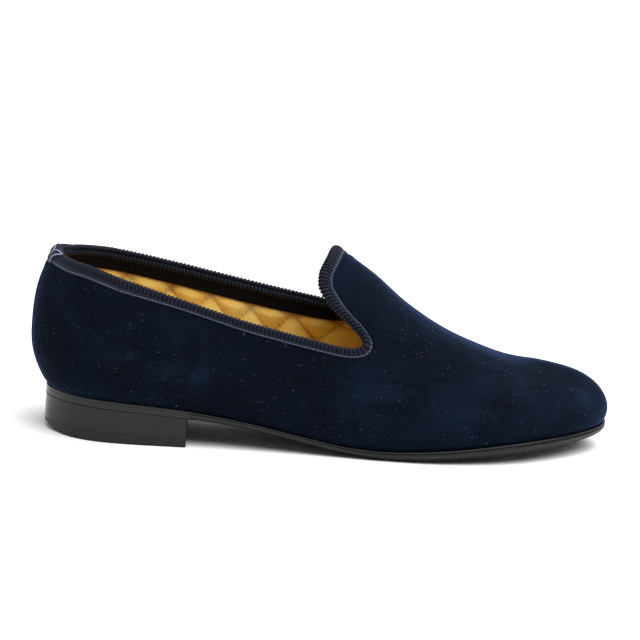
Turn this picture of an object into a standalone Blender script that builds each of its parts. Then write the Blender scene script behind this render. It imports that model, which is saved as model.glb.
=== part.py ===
"""A right velvet slipper loafer: upper, collar binding, insole, outsole, heel block and top piece.

All sizes below are millimetres. +X points to the toe, +Y to the medial side, +Z up, floor at z = 0.
"""
import bpy
import numpy as np

# Driving sizes
WALL = 2.0
GAP = 0.3
BINDING_THICKNESS = 0.7
BINDING_OUTSIDE = 4.4
BINDING_WIDER = 0.42
BINDING_INSIDE = 8.5
INSOLE_THICKNESS = 2.6
TOP_PIECE_THICKNESS = 5.0
WORN_HEEL_X = -116.0
WORN_HEEL_RISE = 2.8
BREAST_X = -72.0
COLUMNS = 96
ROWS = 14

# Columns of the grid gather round each notch of the opening
NOTCH_DENSITY = 1.8
NOTCH_REACH = 13.0

# The spine is the line along the top of the last where the wall sections end
HEEL_END = -108.0
TOE_END = 112.0

# Share of each section, from the feather line up, that the tucked-in foot of the wall takes
FOOT_SHARE = 0.22

# Feather line in plan: x, lateral y, medial y
FEATHER = [
    (-140.2, 0.0, 0.0),
    (-139.2, -5.6, 5.6),
    (-136.4, -11.4, 11.4),
    (-129.0, -20.4, 20.4),
    (-117.0, -27.2, 26.9),
    (-100.0, -30.7, 29.6),
    (-75.0, -32.5, 29.5),
    (-50.0, -34.5, 28.0),
    (-25.0, -37.0, 28.0),
    (0.0, -40.5, 31.0),
    (25.0, -44.5, 37.0),
    (50.0, -46.8, 43.0),
    (70.0, -46.0, 46.0),
    (90.0, -42.6, 45.6),
    (108.0, -35.8, 41.0),
    (123.0, -27.6, 33.6),
    (135.0, -19.2, 24.6),
    (142.8, -11.6, 16.0),
    (146.4, -5.2, 8.4),
    (147.5, 1.2, 1.2),
]

# Top of the last: x, y of the spine, height of the spine, power of the section curve
SPINE = [
    (-150.0, 0.0, 101.0, 2.6),
    (-108.0, 0.0, 101.0, 2.6),
    (-70.0, 1.0, 99.0, 2.5),
    (-30.0, 2.0, 99.0, 2.2),
    (0.0, 3.0, 96.6, 2.05),
    (20.0, 4.0, 85.3, 2.0),
    (40.0, 4.5, 69.6, 2.0),
    (60.0, 5.0, 57.3, 2.05),
    (80.0, 5.5, 48.7, 2.1),
    (100.0, 6.0, 42.6, 2.15),
    (120.0, 6.5, 41.7, 2.0),
    (150.0, 7.0, 46.2, 1.75),
]

# Side of the sole: x, height of its upper edge, thickness, sag of its middle, ledge beyond the feather line
SOLE = [
    (-150.0, 21.8, 4.4, 0.0, 0.5),
    (-110.0, 20.9, 4.2, 0.0, 0.5),
    (-72.0, 18.2, 3.9, 0.2, 0.5),
    (-45.0, 14.6, 3.4, 0.8, 0.6),
    (-20.0, 10.0, 3.2, 1.0, 0.8),
    (5.0, 5.8, 3.6, 1.1, 1.0),
    (25.0, 4.9, 4.1, 1.1, 1.2),
    (45.0, 6.1, 4.7, 1.8, 1.3),
    (65.0, 8.1, 5.2, 2.7, 1.3),
    (85.0, 10.3, 5.6, 2.6, 1.3),
    (105.0, 11.8, 5.5, 2.0, 1.3),
    (125.0, 12.6, 5.0, 1.0, 1.2),
    (150.0, 14.2, 4.6, 0.0, 1.0),
]

# Bulge of the wall: x, overhang lateral, overhang medial, height of the widest line above the sole
BULGE = [
    (-150.0, 9.6, 9.6, 26.0),
    (-130.0, 8.0, 8.0, 26.0),
    (-110.0, 4.2, 4.2, 24.0),
    (-70.0, 2.5, 3.0, 20.0),
    (-20.0, 2.0, 3.5, 16.0),
    (40.0, 2.0, 2.0, 11.0),
    (80.0, 2.0, 2.0, 9.5),
    (120.0, 1.8, 2.2, 8.5),
    (150.0, 1.4, 1.4, 6.2),
]

# Opening, from the centre of the heel round the notch and up the edge of the tongue:
# x of the wall section, height of the edge, x where its grid line meets the feather line
OPENING_LATERAL = [
    (-140.0, 89.6, -140.0),
    (-131.5, 87.7, -131.5),
    (-122.4, 86.2, -122.4),
    (-108.0, 81.8, -108.0),
    (-87.8, 75.9, -87.8),
    (-67.7, 70.2, -67.7),
    (-47.9, 64.7, -47.0),
    (-27.1, 60.0, -23.0),
    (-8.0, 56.2, 4.0),
    (3.0, 54.4, 25.0),
    (9.5, 55.0, 44.0),
    (11.5, 57.5, 58.0),
    (9.8, 61.0, 73.0),
    (6.0, 64.8, 87.0),
    (0.5, 69.4, 101.0),
    (-4.2, 73.6, 112.0),
    (-8.2, 78.2, 121.0),
    (-10.6, 83.0, 128.0),
    (-10.1, 88.2, 135.0),
    (-8.6, 91.0, 139.0),
    (-6.5, 93.6, 142.5),
    (-4.6, 95.5, 145.0),
]
OPENING_MEDIAL = [
    (-131.5, 88.1, -131.5),
    (-120.0, 87.0, -120.0),
    (-108.0, 85.8, -108.0),
    (-90.0, 82.6, -90.0),
    (-68.0, 78.4, -68.0),
    (-45.0, 73.8, -44.0),
    (-23.0, 69.4, -20.0),
    (-5.0, 65.8, 6.0),
    (5.0, 64.0, 26.0),
    (11.5, 64.2, 46.0),
    (14.2, 66.6, 61.0),
    (13.6, 70.2, 77.0),
    (11.2, 74.4, 93.0),
    (8.8, 78.6, 106.0),
    (6.8, 82.8, 117.0),
    (5.2, 86.8, 126.5),
    (3.8, 90.4, 134.5),
    (2.4, 93.2, 140.5),
    (1.0, 95.2, 144.5),
]
TONGUE_TIP_X = -0.9


def smooth(x, table, column):
    """Cubic through one column of a table; each slope is the mean of its neighbours'."""
    rows = np.array(table, float)
    xs = rows[:, 0]
    ys = rows[:, column]
    x = np.clip(x, xs[0], xs[-1])
    slope = np.gradient(ys, xs)
    i = np.clip(np.searchsorted(xs, x, side="right") - 1, 0, len(xs) - 2)
    h = xs[i + 1] - xs[i]
    t = (x - xs[i]) / h
    start = (2 * t**3 - 3 * t**2 + 1) * ys[i] + (t**3 - 2 * t**2 + t) * h * slope[i]
    end = (3 * t**2 - 2 * t**3) * ys[i + 1] + (t**3 - t**2) * h * slope[i + 1]
    return start + end


def through(points, steps):
    """Closed centripetal Catmull-Rom curve through the points."""
    p = np.array(points, float)
    p = np.vstack([p[-1], p, p[0], p[1]])
    gaps = np.sqrt(np.linalg.norm(np.diff(p, axis=0), axis=1)) + 1e-9
    t = np.linspace(0, 1, steps, endpoint=False)[:, None]
    spans = []
    for i in range(1, len(p) - 2):
        a, b, c = gaps[i - 1], gaps[i], gaps[i + 1]
        leave = b * ((p[i] - p[i - 1]) / a - (p[i + 1] - p[i - 1]) / (a + b) + (p[i + 1] - p[i]) / b)
        arrive = b * ((p[i + 1] - p[i]) / b - (p[i + 2] - p[i]) / (b + c) + (p[i + 2] - p[i + 1]) / c)
        start = (2 * t**3 - 3 * t**2 + 1) * p[i] + (t**3 - 2 * t**2 + t) * leave
        end = (3 * t**2 - 2 * t**3) * p[i + 1] + (t**3 - t**2) * arrive
        spans.append(start + end)
    return np.vstack(spans)


# Plan of the feather line
FEATHER_ROWS = np.array(FEATHER)
STEPS = 24
LOOP = through(np.vstack([FEATHER_ROWS[:, [0, 1]], FEATHER_ROWS[-2:0:-1][:, [0, 2]]]), STEPS)
TURN = STEPS * (len(FEATHER) - 1)
LATERAL = LOOP[:TURN + 1]
MEDIAL = np.vstack([LOOP[TURN:], LOOP[:1]])[::-1]


def spine_y(x):
    """Sideways place of the spine at x."""
    return smooth(x, SPINE, 1)


def polar(centre):
    """Angle and distance of the feather line seen from a point on the spine."""
    d = LOOP - centre
    angle = np.arctan2(d[:, 1], d[:, 0]) % (2 * np.pi)
    order = np.argsort(angle)
    angle = angle[order]
    size = np.linalg.norm(d, axis=1)[order]
    angle = np.concatenate([angle[-1:] - 2 * np.pi, angle, angle[:1] + 2 * np.pi])
    return angle, np.concatenate([size[-1:], size, size[:1]])


HEEL_POLAR = polar(np.array([HEEL_END, spine_y(HEEL_END)]))
TOE_POLAR = polar(np.array([TOE_END, spine_y(TOE_END)]))


def reach(flat):
    """Foot on the spine, unit direction, distance to the feather line and share of it, for plan points."""
    x = np.clip(flat[..., 0], HEEL_END, TOE_END)
    foot = np.stack([x, spine_y(x)], -1)
    out = flat - foot
    size = np.linalg.norm(out, axis=-1)
    way = out / np.maximum(size, 1e-9)[..., None]
    lateral = foot[..., 1] - np.interp(x, LATERAL[:, 0], LATERAL[:, 1])
    medial = np.interp(x, MEDIAL[:, 0], MEDIAL[:, 1]) - foot[..., 1]
    full = np.where(out[..., 1] < 0, lateral, medial)
    angle = np.arctan2(out[..., 1], out[..., 0]) % (2 * np.pi)
    full = np.where(flat[..., 0] < HEEL_END, np.interp(angle, *HEEL_POLAR), full)
    full = np.where(flat[..., 0] > TOE_END, np.interp(angle, *TOE_POLAR), full)
    return foot, way, full, size / full


def last(flat):
    """Surface of the last over its plan.

    Each section runs from the feather line (share 1) to the spine (share 0). Its foot leans out to the
    bulge as a parabola; above the bulge it is a superellipse that ends level on the spine.
    """
    foot, way, full, share = reach(flat)
    edge = foot + way * full[..., None]
    edge_x = edge[..., 0]
    climb = 1.0 - share
    side = 0.5 + 0.5 * way[..., 1]
    over = smooth(edge_x, BULGE, 1) * (1 - side) + smooth(edge_x, BULGE, 2) * side
    rise = smooth(edge_x, BULGE, 3)
    base = smooth(edge_x, SOLE, 1) + GAP
    low = np.clip(climb / FOOT_SHARE, 0, 1)
    turn = np.clip((climb - FOOT_SHARE) / (1 - FOOT_SHARE), 0, 1) * np.pi / 2
    power = 2.0 / smooth(edge_x, SPINE, 3)
    upper_part = climb >= FOOT_SHARE
    width = np.where(upper_part, (full + over) * np.cos(turn) ** power, full + over * (1 - (1 - low) ** 2))
    plan = foot + way * width[..., None]
    top = smooth(plan[..., 0], SPINE, 2)
    height = np.where(upper_part, base + rise + (top - base - rise) * np.sin(turn) ** power, base + rise * low)
    return np.concatenate([plan, height[..., None]], -1)


def normals(flat):
    """Outward unit normals of the last's surface at plan points."""
    step = 0.05
    dx = last(flat + [step, 0]) - last(flat - [step, 0])
    dy = last(flat + [0, step]) - last(flat - [0, step])
    out = np.cross(dx, dy)
    return out / np.linalg.norm(out, axis=-1)[..., None]


def plan_at_height(x, height, side):
    """Plan point on the wall section at feather-line x whose surface is at a height."""
    half = LATERAL if side < 0 else MEDIAL
    edge = np.array([x, np.interp(x, half[:, 0], half[:, 1])])
    foot_x = min(max(x, HEEL_END), TOE_END)
    foot = np.array([foot_x, spine_y(foot_x)])
    share = np.linspace(1.0, 0.0, 400)[:, None]
    flat = foot + (edge - foot) * share
    z = last(flat)[:, 2]
    k = np.interp(height, z, np.arange(len(z)))
    return np.array([np.interp(k, np.arange(len(z)), flat[:, 0]), np.interp(k, np.arange(len(z)), flat[:, 1])])


def between_rows(table, times):
    """Rows of a table with more rows put between them, on a cubic through its own."""
    rows = np.array(table)
    index = np.arange(len(rows), dtype=float)
    t = np.linspace(0, len(rows) - 1, times * (len(rows) - 1) + 1)
    return np.column_stack([hermite(t, index, rows[:, k], np.gradient(rows[:, k])) for k in range(3)])


def opening_curve(count):
    """Edge of the opening in plan and the feather-line points its grid lines run to, heel centre first."""
    tip = np.array([TONGUE_TIP_X, spine_y(TONGUE_TIP_X)])
    lateral_rows = between_rows(OPENING_LATERAL, 4)
    medial_rows = between_rows(OPENING_MEDIAL, 4)
    lateral = [plan_at_height(x, z, -1) for x, z, target in lateral_rows]
    medial = [plan_at_height(x, z, 1) for x, z, target in medial_rows]
    steps = 4
    curve = through(lateral + [tip] + medial[::-1], steps)
    curve = np.vstack([curve, curve[:1]])
    targets_lateral = [distance_on(LATERAL, target) for x, z, target in lateral_rows]
    total = length_of(LATERAL)
    targets_medial = [total + length_of(MEDIAL) - distance_on(MEDIAL, target) for x, z, target in medial_rows]
    keys = np.array(targets_lateral + [total] + targets_medial[::-1] + [total + length_of(MEDIAL)])
    surface = last(curve)
    distance = np.concatenate([[0.0], np.cumsum(np.linalg.norm(np.diff(surface, axis=0), axis=1))])
    density = np.ones(len(curve))
    for side in (-1, 1):
        notch = np.argmax(np.where(curve[:, 1] * side > 15, curve[:, 0], -999))
        density += NOTCH_DENSITY * np.exp(-((distance - distance[notch]) / NOTCH_REACH)**2)
    middle = (density[1:] + density[:-1]) / 2 * np.diff(distance)
    weight = np.concatenate([[0.0], np.cumsum(middle)])
    wanted = np.interp(np.linspace(0, weight[-1], count, endpoint=False), weight, distance)
    edge = np.column_stack([np.interp(wanted, distance, curve[:, k]) for k in range(2)])
    key_distance = distance[::steps]
    slopes = np.gradient(keys, key_distance)
    target = hermite(wanted, key_distance, keys, slopes)
    ring = np.vstack([LATERAL, MEDIAL[::-1][1:]])
    ring_distance = np.concatenate([[0.0], np.cumsum(np.linalg.norm(np.diff(ring, axis=0), axis=1))])
    feather = np.column_stack([np.interp(target, ring_distance, ring[:, k]) for k in range(2)])
    return edge, feather


def hermite(x, xs, ys, slope):
    """Cubic through points with given slopes."""
    i = np.clip(np.searchsorted(xs, x, side="right") - 1, 0, len(xs) - 2)
    h = xs[i + 1] - xs[i]
    t = (x - xs[i]) / h
    start = (2 * t**3 - 3 * t**2 + 1) * ys[i] + (t**3 - 2 * t**2 + t) * h * slope[i]
    return start + (3 * t**2 - 2 * t**3) * ys[i + 1] + (t**3 - t**2) * h * slope[i + 1]


def length_of(line):
    """Length of a polyline."""
    return np.linalg.norm(np.diff(line, axis=0), axis=1).sum()


def distance_on(half, x):
    """Distance along half of the feather line to where it passes x."""
    distance = np.concatenate([[0.0], np.cumsum(np.linalg.norm(np.diff(half, axis=0), axis=1))])
    return np.interp(x, half[:, 0], distance)


def grid_lines(count, samples=160):
    """Plan lines from the opening's edge to the feather line, square to the edge where they start."""
    edge, feather = opening_curve(count)
    surface = last(edge)
    tangent = np.roll(surface, -1, axis=0) - np.roll(surface, 1, axis=0)
    tangent /= np.linalg.norm(tangent, axis=1)[:, None]
    inward = np.cross(tangent, normals(edge))
    step = 0.05
    dx = (last(edge + [step, 0]) - last(edge - [step, 0])) / (2 * step)
    dy = (last(edge + [0, step]) - last(edge - [0, step])) / (2 * step)
    a = (dx * dx).sum(1)
    b = (dx * dy).sum(1)
    c = (dy * dy).sum(1)
    p = (dx * inward).sum(1)
    q = (dy * inward).sum(1)
    det = a * c - b * b
    start = np.column_stack([(c * p - b * q) / det, (a * q - b * p) / det])
    foot = reach(feather)[0]
    pull = foot - feather
    pull /= np.linalg.norm(pull, axis=1)[:, None]
    span = np.linalg.norm(feather - edge, axis=1)[:, None]
    one = edge + start * np.clip(span * 0.16, 6.0, 15.0)
    two = feather + pull * np.minimum(14.0, span * 0.33)
    t = np.linspace(0, 1, samples)[None, :, None]
    line = (1 - t)**3 * edge[:, None] + 3 * (1 - t)**2 * t * one[:, None]
    return line + 3 * (1 - t) * t**2 * two[:, None] + t**3 * feather[:, None]


def wall_grid(count, rows, close):
    """Plan grid of the wall: `close` are distances of its first rows from the opening's edge."""
    lines = grid_lines(count)
    surface = last(lines)
    steps = np.linalg.norm(np.diff(surface, axis=1), axis=2)
    distance = np.concatenate([np.zeros((count, 1)), np.cumsum(steps, axis=1)], axis=1)
    grid = np.zeros((count, rows + 1, 2))
    t = np.linspace(0, 1, rows + 2 - len(close))[1:]
    for k in range(count):
        total = distance[k, -1]
        power = 1.0 + 0.7 * np.clip((total - 70) / 60, 0, 1)
        wanted = np.concatenate([close, close[-1] + (total - close[-1]) * (1 - (1 - t)**power)])
        for axis in range(2):
            grid[k, :, axis] = np.interp(wanted, distance[k], lines[k, :, axis])
    fixed = len(close)
    amount = np.where(np.arange(rows + 1) < fixed, 0.0, 0.45 * (1 - np.arange(rows + 1) / rows))[None, :, None]
    for turn in range(12):
        around = (np.roll(grid, 1, axis=0) + np.roll(grid, -1, axis=0)) / 2
        grid = grid + amount * (around - grid)
    return grid


def shifted_half(side, extra):
    """One half of the feather line moved outwards by the ledge plus an extra distance."""
    ahead = np.roll(LOOP, -1, axis=0) - np.roll(LOOP, 1, axis=0)
    out = np.column_stack([ahead[:, 1], -ahead[:, 0]])
    out /= np.linalg.norm(out, axis=1)[:, None]
    moved = LOOP + out * (smooth(LOOP[:, 0], SOLE, 4) + extra)[:, None]
    first = np.argmin(moved[:, 0])
    moved = np.roll(moved, -first, axis=0)
    turn = np.argmax(moved[:, 0])
    if side < 0:
        return moved[:turn + 1]
    return np.vstack([moved[turn:], moved[:1]])[::-1]


def sole_top(x, y):
    """Upper face of the outsole: its edge height less the sag, which fades as (1 - share across squared) squared."""
    lateral = np.interp(x, *shifted_half(-1, 0.0).T)
    medial = np.interp(x, *shifted_half(1, 0.0).T)
    share = np.clip((2 * y - lateral - medial) / np.maximum(medial - lateral, 1e-6), -1, 1)
    return smooth(x, SOLE, 1) - smooth(x, SOLE, 3) * (1 - share**2)**2


def sole_underside(x, y):
    """Lower face of the outsole, flattened where it stands on the floor."""
    return np.maximum(sole_top(x, y) - smooth(x, SOLE, 2), 0.0)


def stations(start, end, count, round_end):
    """Places along x, gathered towards a rounded start and, when asked, a rounded end."""
    if round_end:
        t = (np.arange(count) + 0.5) / count
        return start + (end - start) * (1 - np.cos(np.pi * t)) / 2
    t = (np.arange(count) + 0.5) / (count - 0.5)
    return start + (end - start) * (1 - np.cos(np.pi / 2 * t))


# Meshes
MM = 0.001


def clear_scene():
    """Remove every object and collection of the start-up file."""
    for item in list(bpy.data.objects):
        bpy.data.objects.remove(item, do_unlink=True)
    for item in list(bpy.data.collections):
        bpy.data.collections.remove(item)


def add_object(name, points, faces, colour, roughness):
    """One named node with its own material, from points in millimetres."""
    mesh = bpy.data.meshes.new(name)
    mesh.from_pydata((np.asarray(points).reshape(-1, 3) * MM).tolist(), [], faces)
    mesh.validate()
    mesh.update()
    material = bpy.data.materials.new(name)
    material.use_nodes = True
    surface = material.node_tree.nodes["Principled BSDF"]
    surface.inputs["Base Color"].default_value = (*colour, 1.0)
    surface.inputs["Roughness"].default_value = roughness
    material.diffuse_color = (*colour, 1.0)
    mesh.materials.append(material)
    item = bpy.data.objects.new(name, mesh)
    PARTS.objects.link(item)
    return item


def ring_faces(columns, rows):
    """Quads of a sheet whose columns close into a ring; point index is column * rows + row."""
    faces = []
    for k in range(columns):
        n = (k + 1) % columns
        for j in range(rows - 1):
            faces.append((k * rows + j, k * rows + j + 1, n * rows + j + 1, n * rows + j))
    return faces


def thicken(item, thickness, offset):
    """Give a sheet its real thickness with a Solidify modifier."""
    modifier = item.modifiers.new("wall", "SOLIDIFY")
    modifier.thickness = thickness * MM
    modifier.offset = offset
    modifier.use_even_offset = True
    modifier.use_quality_normals = True
    modifier.use_rim = True


def make_upper():
    """Hollow upper: the last's surface between the opening and the feather line, thickened inwards."""
    grid = wall_grid(COLUMNS, ROWS, np.array([1.2, 4.2, 7.4]))
    points = last(grid)
    item = add_object("upper", points, ring_faces(COLUMNS, ROWS + 1), (0.012, 0.018, 0.04), 0.9)
    thicken(item, WALL, -1.0)


def ramp(value, low, high):
    """Smooth step: 0 below low, 1 above high."""
    share = np.clip((value - low) / (high - low), 0, 1)
    return share * share * (3 - 2 * share)


def binding_reach(edge):
    """Reach of the ribbon's outer leg below the edge; it grows round the heel and up the tongue."""
    heel = ramp(-edge[:, 0], 75.0, 112.0)
    tongue = ramp(edge[:, 2], 66.0, 80.0) * ramp(edge[:, 0], -40.0, -20.0)
    return BINDING_OUTSIDE * (1 + BINDING_WIDER * (heel + tongue))


def make_binding():
    """Ribbon folded over the edge of the opening: outer leg, fold and inner leg of one bent sheet."""
    lines = grid_lines(COLUMNS)
    surface = last(lines)
    steps = np.linalg.norm(np.diff(surface, axis=1), axis=2)
    distance = np.concatenate([np.zeros((COLUMNS, 1)), np.cumsum(steps, axis=1)], axis=1)
    outside = GAP
    inside = -WALL - GAP
    reach_down = binding_reach(surface[:, 0])
    one = np.ones(COLUMNS)
    section = [
        (reach_down, outside),
        (reach_down * 0.5, outside),
        (0.75 * one, outside),
        (0.15 * one, (outside + inside) / 2),
        (0.75 * one, inside),
        (BINDING_INSIDE * 0.5 * one, inside),
        (BINDING_INSIDE * one, inside),
    ]
    points = np.zeros((COLUMNS, len(section), 3))
    for j, (down, out) in enumerate(section):
        flat = np.zeros((COLUMNS, 2))
        for k in range(COLUMNS):
            flat[k, 0] = np.interp(down[k], distance[k], lines[k, :, 0])
            flat[k, 1] = np.interp(down[k], distance[k], lines[k, :, 1])
        points[:, j] = last(flat) + normals(flat) * out
    faces = [face[::-1] for face in ring_faces(COLUMNS, len(section))]
    item = add_object("collar_binding", points, faces, (0.02, 0.022, 0.035), 0.6)
    thicken(item, BINDING_THICKNESS, 1.0)


def add_loft(name, sections, colour, roughness):
    """Closed solid through rings of points, one ring a station, with a flat face at each end."""
    rings = np.array(sections)
    count, around = rings.shape[:2]
    faces = [tuple(range(around)), tuple((count - 1) * around + k for k in range(around))[::-1]]
    for i in range(count - 1):
        for k in range(around):
            n = (k + 1) % around
            faces.append((i * around + k, (i + 1) * around + k, (i + 1) * around + n, i * around + n))
    return add_object(name, rings, faces, colour, roughness)


ACROSS = np.array([-1.0, -0.72, -0.4, 0.0, 0.4, 0.72, 1.0])


def edges_at(x, lateral, medial):
    """Sideways places of the two edges of an outline at x."""
    return np.interp(x, lateral[:, 0], lateral[:, 1]), np.interp(x, medial[:, 0], medial[:, 1])


def make_outsole():
    """Leather outsole: true outline, sagging underside, and an edge with a bevel below."""
    lateral = shifted_half(-1, 0.0)
    medial = shifted_half(1, 0.0)
    sections = []
    for x in stations(lateral[0, 0], lateral[-1, 0], 46, True):
        low, high = edges_at(x, lateral, medial)
        bevel = min(0.9, (high - low) / 8)
        y = (low + high) / 2 + ACROSS * (high - low) / 2
        y_under = (low + high) / 2 + ACROSS * ((high - low) / 2 - bevel)
        top = np.column_stack([np.full(7, x), y, sole_top(x, y)])
        under = np.column_stack([np.full(7, x), y_under, sole_underside(x, y_under)])[::-1]
        drop = smooth(x, SOLE, 1) - smooth(x, SOLE, 2) * 0.72
        sections.append(np.vstack([top, [[x, high, drop]], under, [[x, low, drop]]]))
    add_loft("outsole", sections, (0.05, 0.05, 0.052), 0.35)


def worn_height(x):
    """Height of the top piece's underside, which curves up behind WORN_HEEL_X like a worn heel."""
    behind = max(0.0, (WORN_HEEL_X - x) / (WORN_HEEL_X - FEATHER[0][0]))
    return WORN_HEEL_RISE * behind**2


def make_heel():
    """Heel block of stacked leather and the top piece it stands on, with a flat breast."""
    lateral = shifted_half(-1, 0.0)
    medial = shifted_half(1, 0.0)
    block = []
    piece = []
    across = ACROSS[[0, 2, 3, 4, 6]]
    for x in stations(lateral[0, 0], BREAST_X, 20, False):
        low, high = edges_at(x, lateral, medial)
        y = (low + high) / 2 + across * (high - low) / 2
        column = np.full(5, x)
        under = np.column_stack([column, y, np.full(5, TOP_PIECE_THICKNESS + 0.2)])[::-1]
        block.append(np.vstack([np.column_stack([column, y, sole_underside(x, y) - 0.2]), under]))
        top = np.column_stack([column, y, np.full(5, TOP_PIECE_THICKNESS)])
        piece.append(np.vstack([top, np.column_stack([column, y, np.full(5, worn_height(x))])[::-1]]))
    add_loft("heel", block, (0.03, 0.03, 0.032), 0.3)
    add_loft("top_piece", piece, (0.02, 0.02, 0.02), 0.55)


def make_insole():
    """Insole lying on the outsole inside the wall."""
    lateral = shifted_half(-1, -WALL - 2.2)
    medial = shifted_half(1, -WALL - 2.2)
    sections = []
    for x in stations(lateral[0, 0], lateral[-1, 0], 40, True):
        low, high = edges_at(x, lateral, medial)
        y = (low + high) / 2 + ACROSS * (high - low) / 2
        base = sole_top(x, y) + GAP
        top = np.column_stack([np.full(7, x), y, base + INSOLE_THICKNESS])
        sections.append(np.vstack([top, np.column_stack([np.full(7, x), y, base])[::-1]]))
    add_loft("insole", sections, (0.62, 0.35, 0.08), 0.6)


clear_scene()
PARTS = bpy.data.collections.new("velvet_slipper_loafer")
bpy.context.scene.collection.children.link(PARTS)
make_upper()
make_binding()
make_insole()
make_outsole()
make_heel()
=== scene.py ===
"""Looks of a right velvet slipper loafer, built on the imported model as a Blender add-on script."""

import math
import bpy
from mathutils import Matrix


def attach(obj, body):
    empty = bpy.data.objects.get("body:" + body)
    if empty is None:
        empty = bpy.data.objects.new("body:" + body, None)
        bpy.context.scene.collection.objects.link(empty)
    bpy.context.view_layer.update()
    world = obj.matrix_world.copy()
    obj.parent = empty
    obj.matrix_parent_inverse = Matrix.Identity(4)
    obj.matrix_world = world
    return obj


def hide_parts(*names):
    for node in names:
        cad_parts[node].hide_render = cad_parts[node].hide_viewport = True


bl_info = {
    "name": "Velvet Slipper Loafer",
    "version": (1, 0, 0),
    "blender": (4, 5, 0),
    "location": "View3D > Sidebar > Slipper",
    "description": "Velvet upper, ribbed binding, quilted lining, leather sole and heel of one loafer",
    "category": "Object",
}

import bmesh
import bpy
import numpy as np
from mathutils import Matrix

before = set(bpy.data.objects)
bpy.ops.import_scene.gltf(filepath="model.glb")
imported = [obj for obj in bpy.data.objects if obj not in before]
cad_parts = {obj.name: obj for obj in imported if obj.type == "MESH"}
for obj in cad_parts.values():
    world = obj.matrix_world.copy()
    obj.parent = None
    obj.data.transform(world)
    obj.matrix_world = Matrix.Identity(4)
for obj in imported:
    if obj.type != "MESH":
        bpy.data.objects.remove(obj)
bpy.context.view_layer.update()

# The last, in millimetres: +X toe, +Y medial side, +Z up, floor at z = 0
MM = 0.001
WALL = 2.0
GAP = 0.3
HEEL_END = -108.0
TOE_END = 112.0
FOOT_SHARE = 0.22
BREAST_X = -72.0
TOP_PIECE = 5.0
WORN_HEEL_X = -116.0
WORN_HEEL_RISE = 2.8

# Feather line in plan: x, lateral y, medial y
FEATHER = [
    (-140.2, 0.0, 0.0),
    (-139.2, -5.6, 5.6),
    (-136.4, -11.4, 11.4),
    (-129.0, -20.4, 20.4),
    (-117.0, -27.2, 26.9),
    (-100.0, -30.7, 29.6),
    (-75.0, -32.5, 29.5),
    (-50.0, -34.5, 28.0),
    (-25.0, -37.0, 28.0),
    (0.0, -40.5, 31.0),
    (25.0, -44.5, 37.0),
    (50.0, -46.8, 43.0),
    (70.0, -46.0, 46.0),
    (90.0, -42.6, 45.6),
    (108.0, -35.8, 41.0),
    (123.0, -27.6, 33.6),
    (135.0, -19.2, 24.6),
    (142.8, -11.6, 16.0),
    (146.4, -5.2, 8.4),
    (147.5, 1.2, 1.2),
]

# Top of the last: x, y of the spine, height of the spine, power of the section curve
SPINE = [
    (-150.0, 0.0, 101.0, 2.6),
    (-108.0, 0.0, 101.0, 2.6),
    (-70.0, 1.0, 99.0, 2.5),
    (-30.0, 2.0, 99.0, 2.2),
    (0.0, 3.0, 96.6, 2.05),
    (20.0, 4.0, 85.3, 2.0),
    (40.0, 4.5, 69.6, 2.0),
    (60.0, 5.0, 57.3, 2.05),
    (80.0, 5.5, 48.7, 2.1),
    (100.0, 6.0, 42.6, 2.15),
    (120.0, 6.5, 41.7, 2.0),
    (150.0, 7.0, 46.2, 1.75),
]

# Side of the sole: x, height of its upper edge, thickness, sag of its middle, ledge beyond the feather line
SOLE = [
    (-150.0, 21.8, 4.4, 0.0, 0.5),
    (-110.0, 20.9, 4.2, 0.0, 0.5),
    (-72.0, 18.2, 3.9, 0.2, 0.5),
    (-45.0, 14.6, 3.4, 0.8, 0.6),
    (-20.0, 10.0, 3.2, 1.0, 0.8),
    (5.0, 5.8, 3.6, 1.1, 1.0),
    (25.0, 4.9, 4.1, 1.1, 1.2),
    (45.0, 6.1, 4.7, 1.8, 1.3),
    (65.0, 8.1, 5.2, 2.7, 1.3),
    (85.0, 10.3, 5.6, 2.6, 1.3),
    (105.0, 11.8, 5.5, 2.0, 1.3),
    (125.0, 12.6, 5.0, 1.0, 1.2),
    (150.0, 14.2, 4.6, 0.0, 1.0),
]

# Bulge of the wall: x, overhang lateral, overhang medial, height of the widest line above the sole
BULGE = [
    (-150.0, 9.6, 9.6, 26.0),
    (-130.0, 8.0, 8.0, 26.0),
    (-110.0, 4.2, 4.2, 24.0),
    (-70.0, 2.5, 3.0, 20.0),
    (-20.0, 2.0, 3.5, 16.0),
    (40.0, 2.0, 2.0, 11.0),
    (80.0, 2.0, 2.0, 9.5),
    (120.0, 1.8, 2.2, 8.5),
    (150.0, 1.4, 1.4, 6.2),
]

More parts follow.
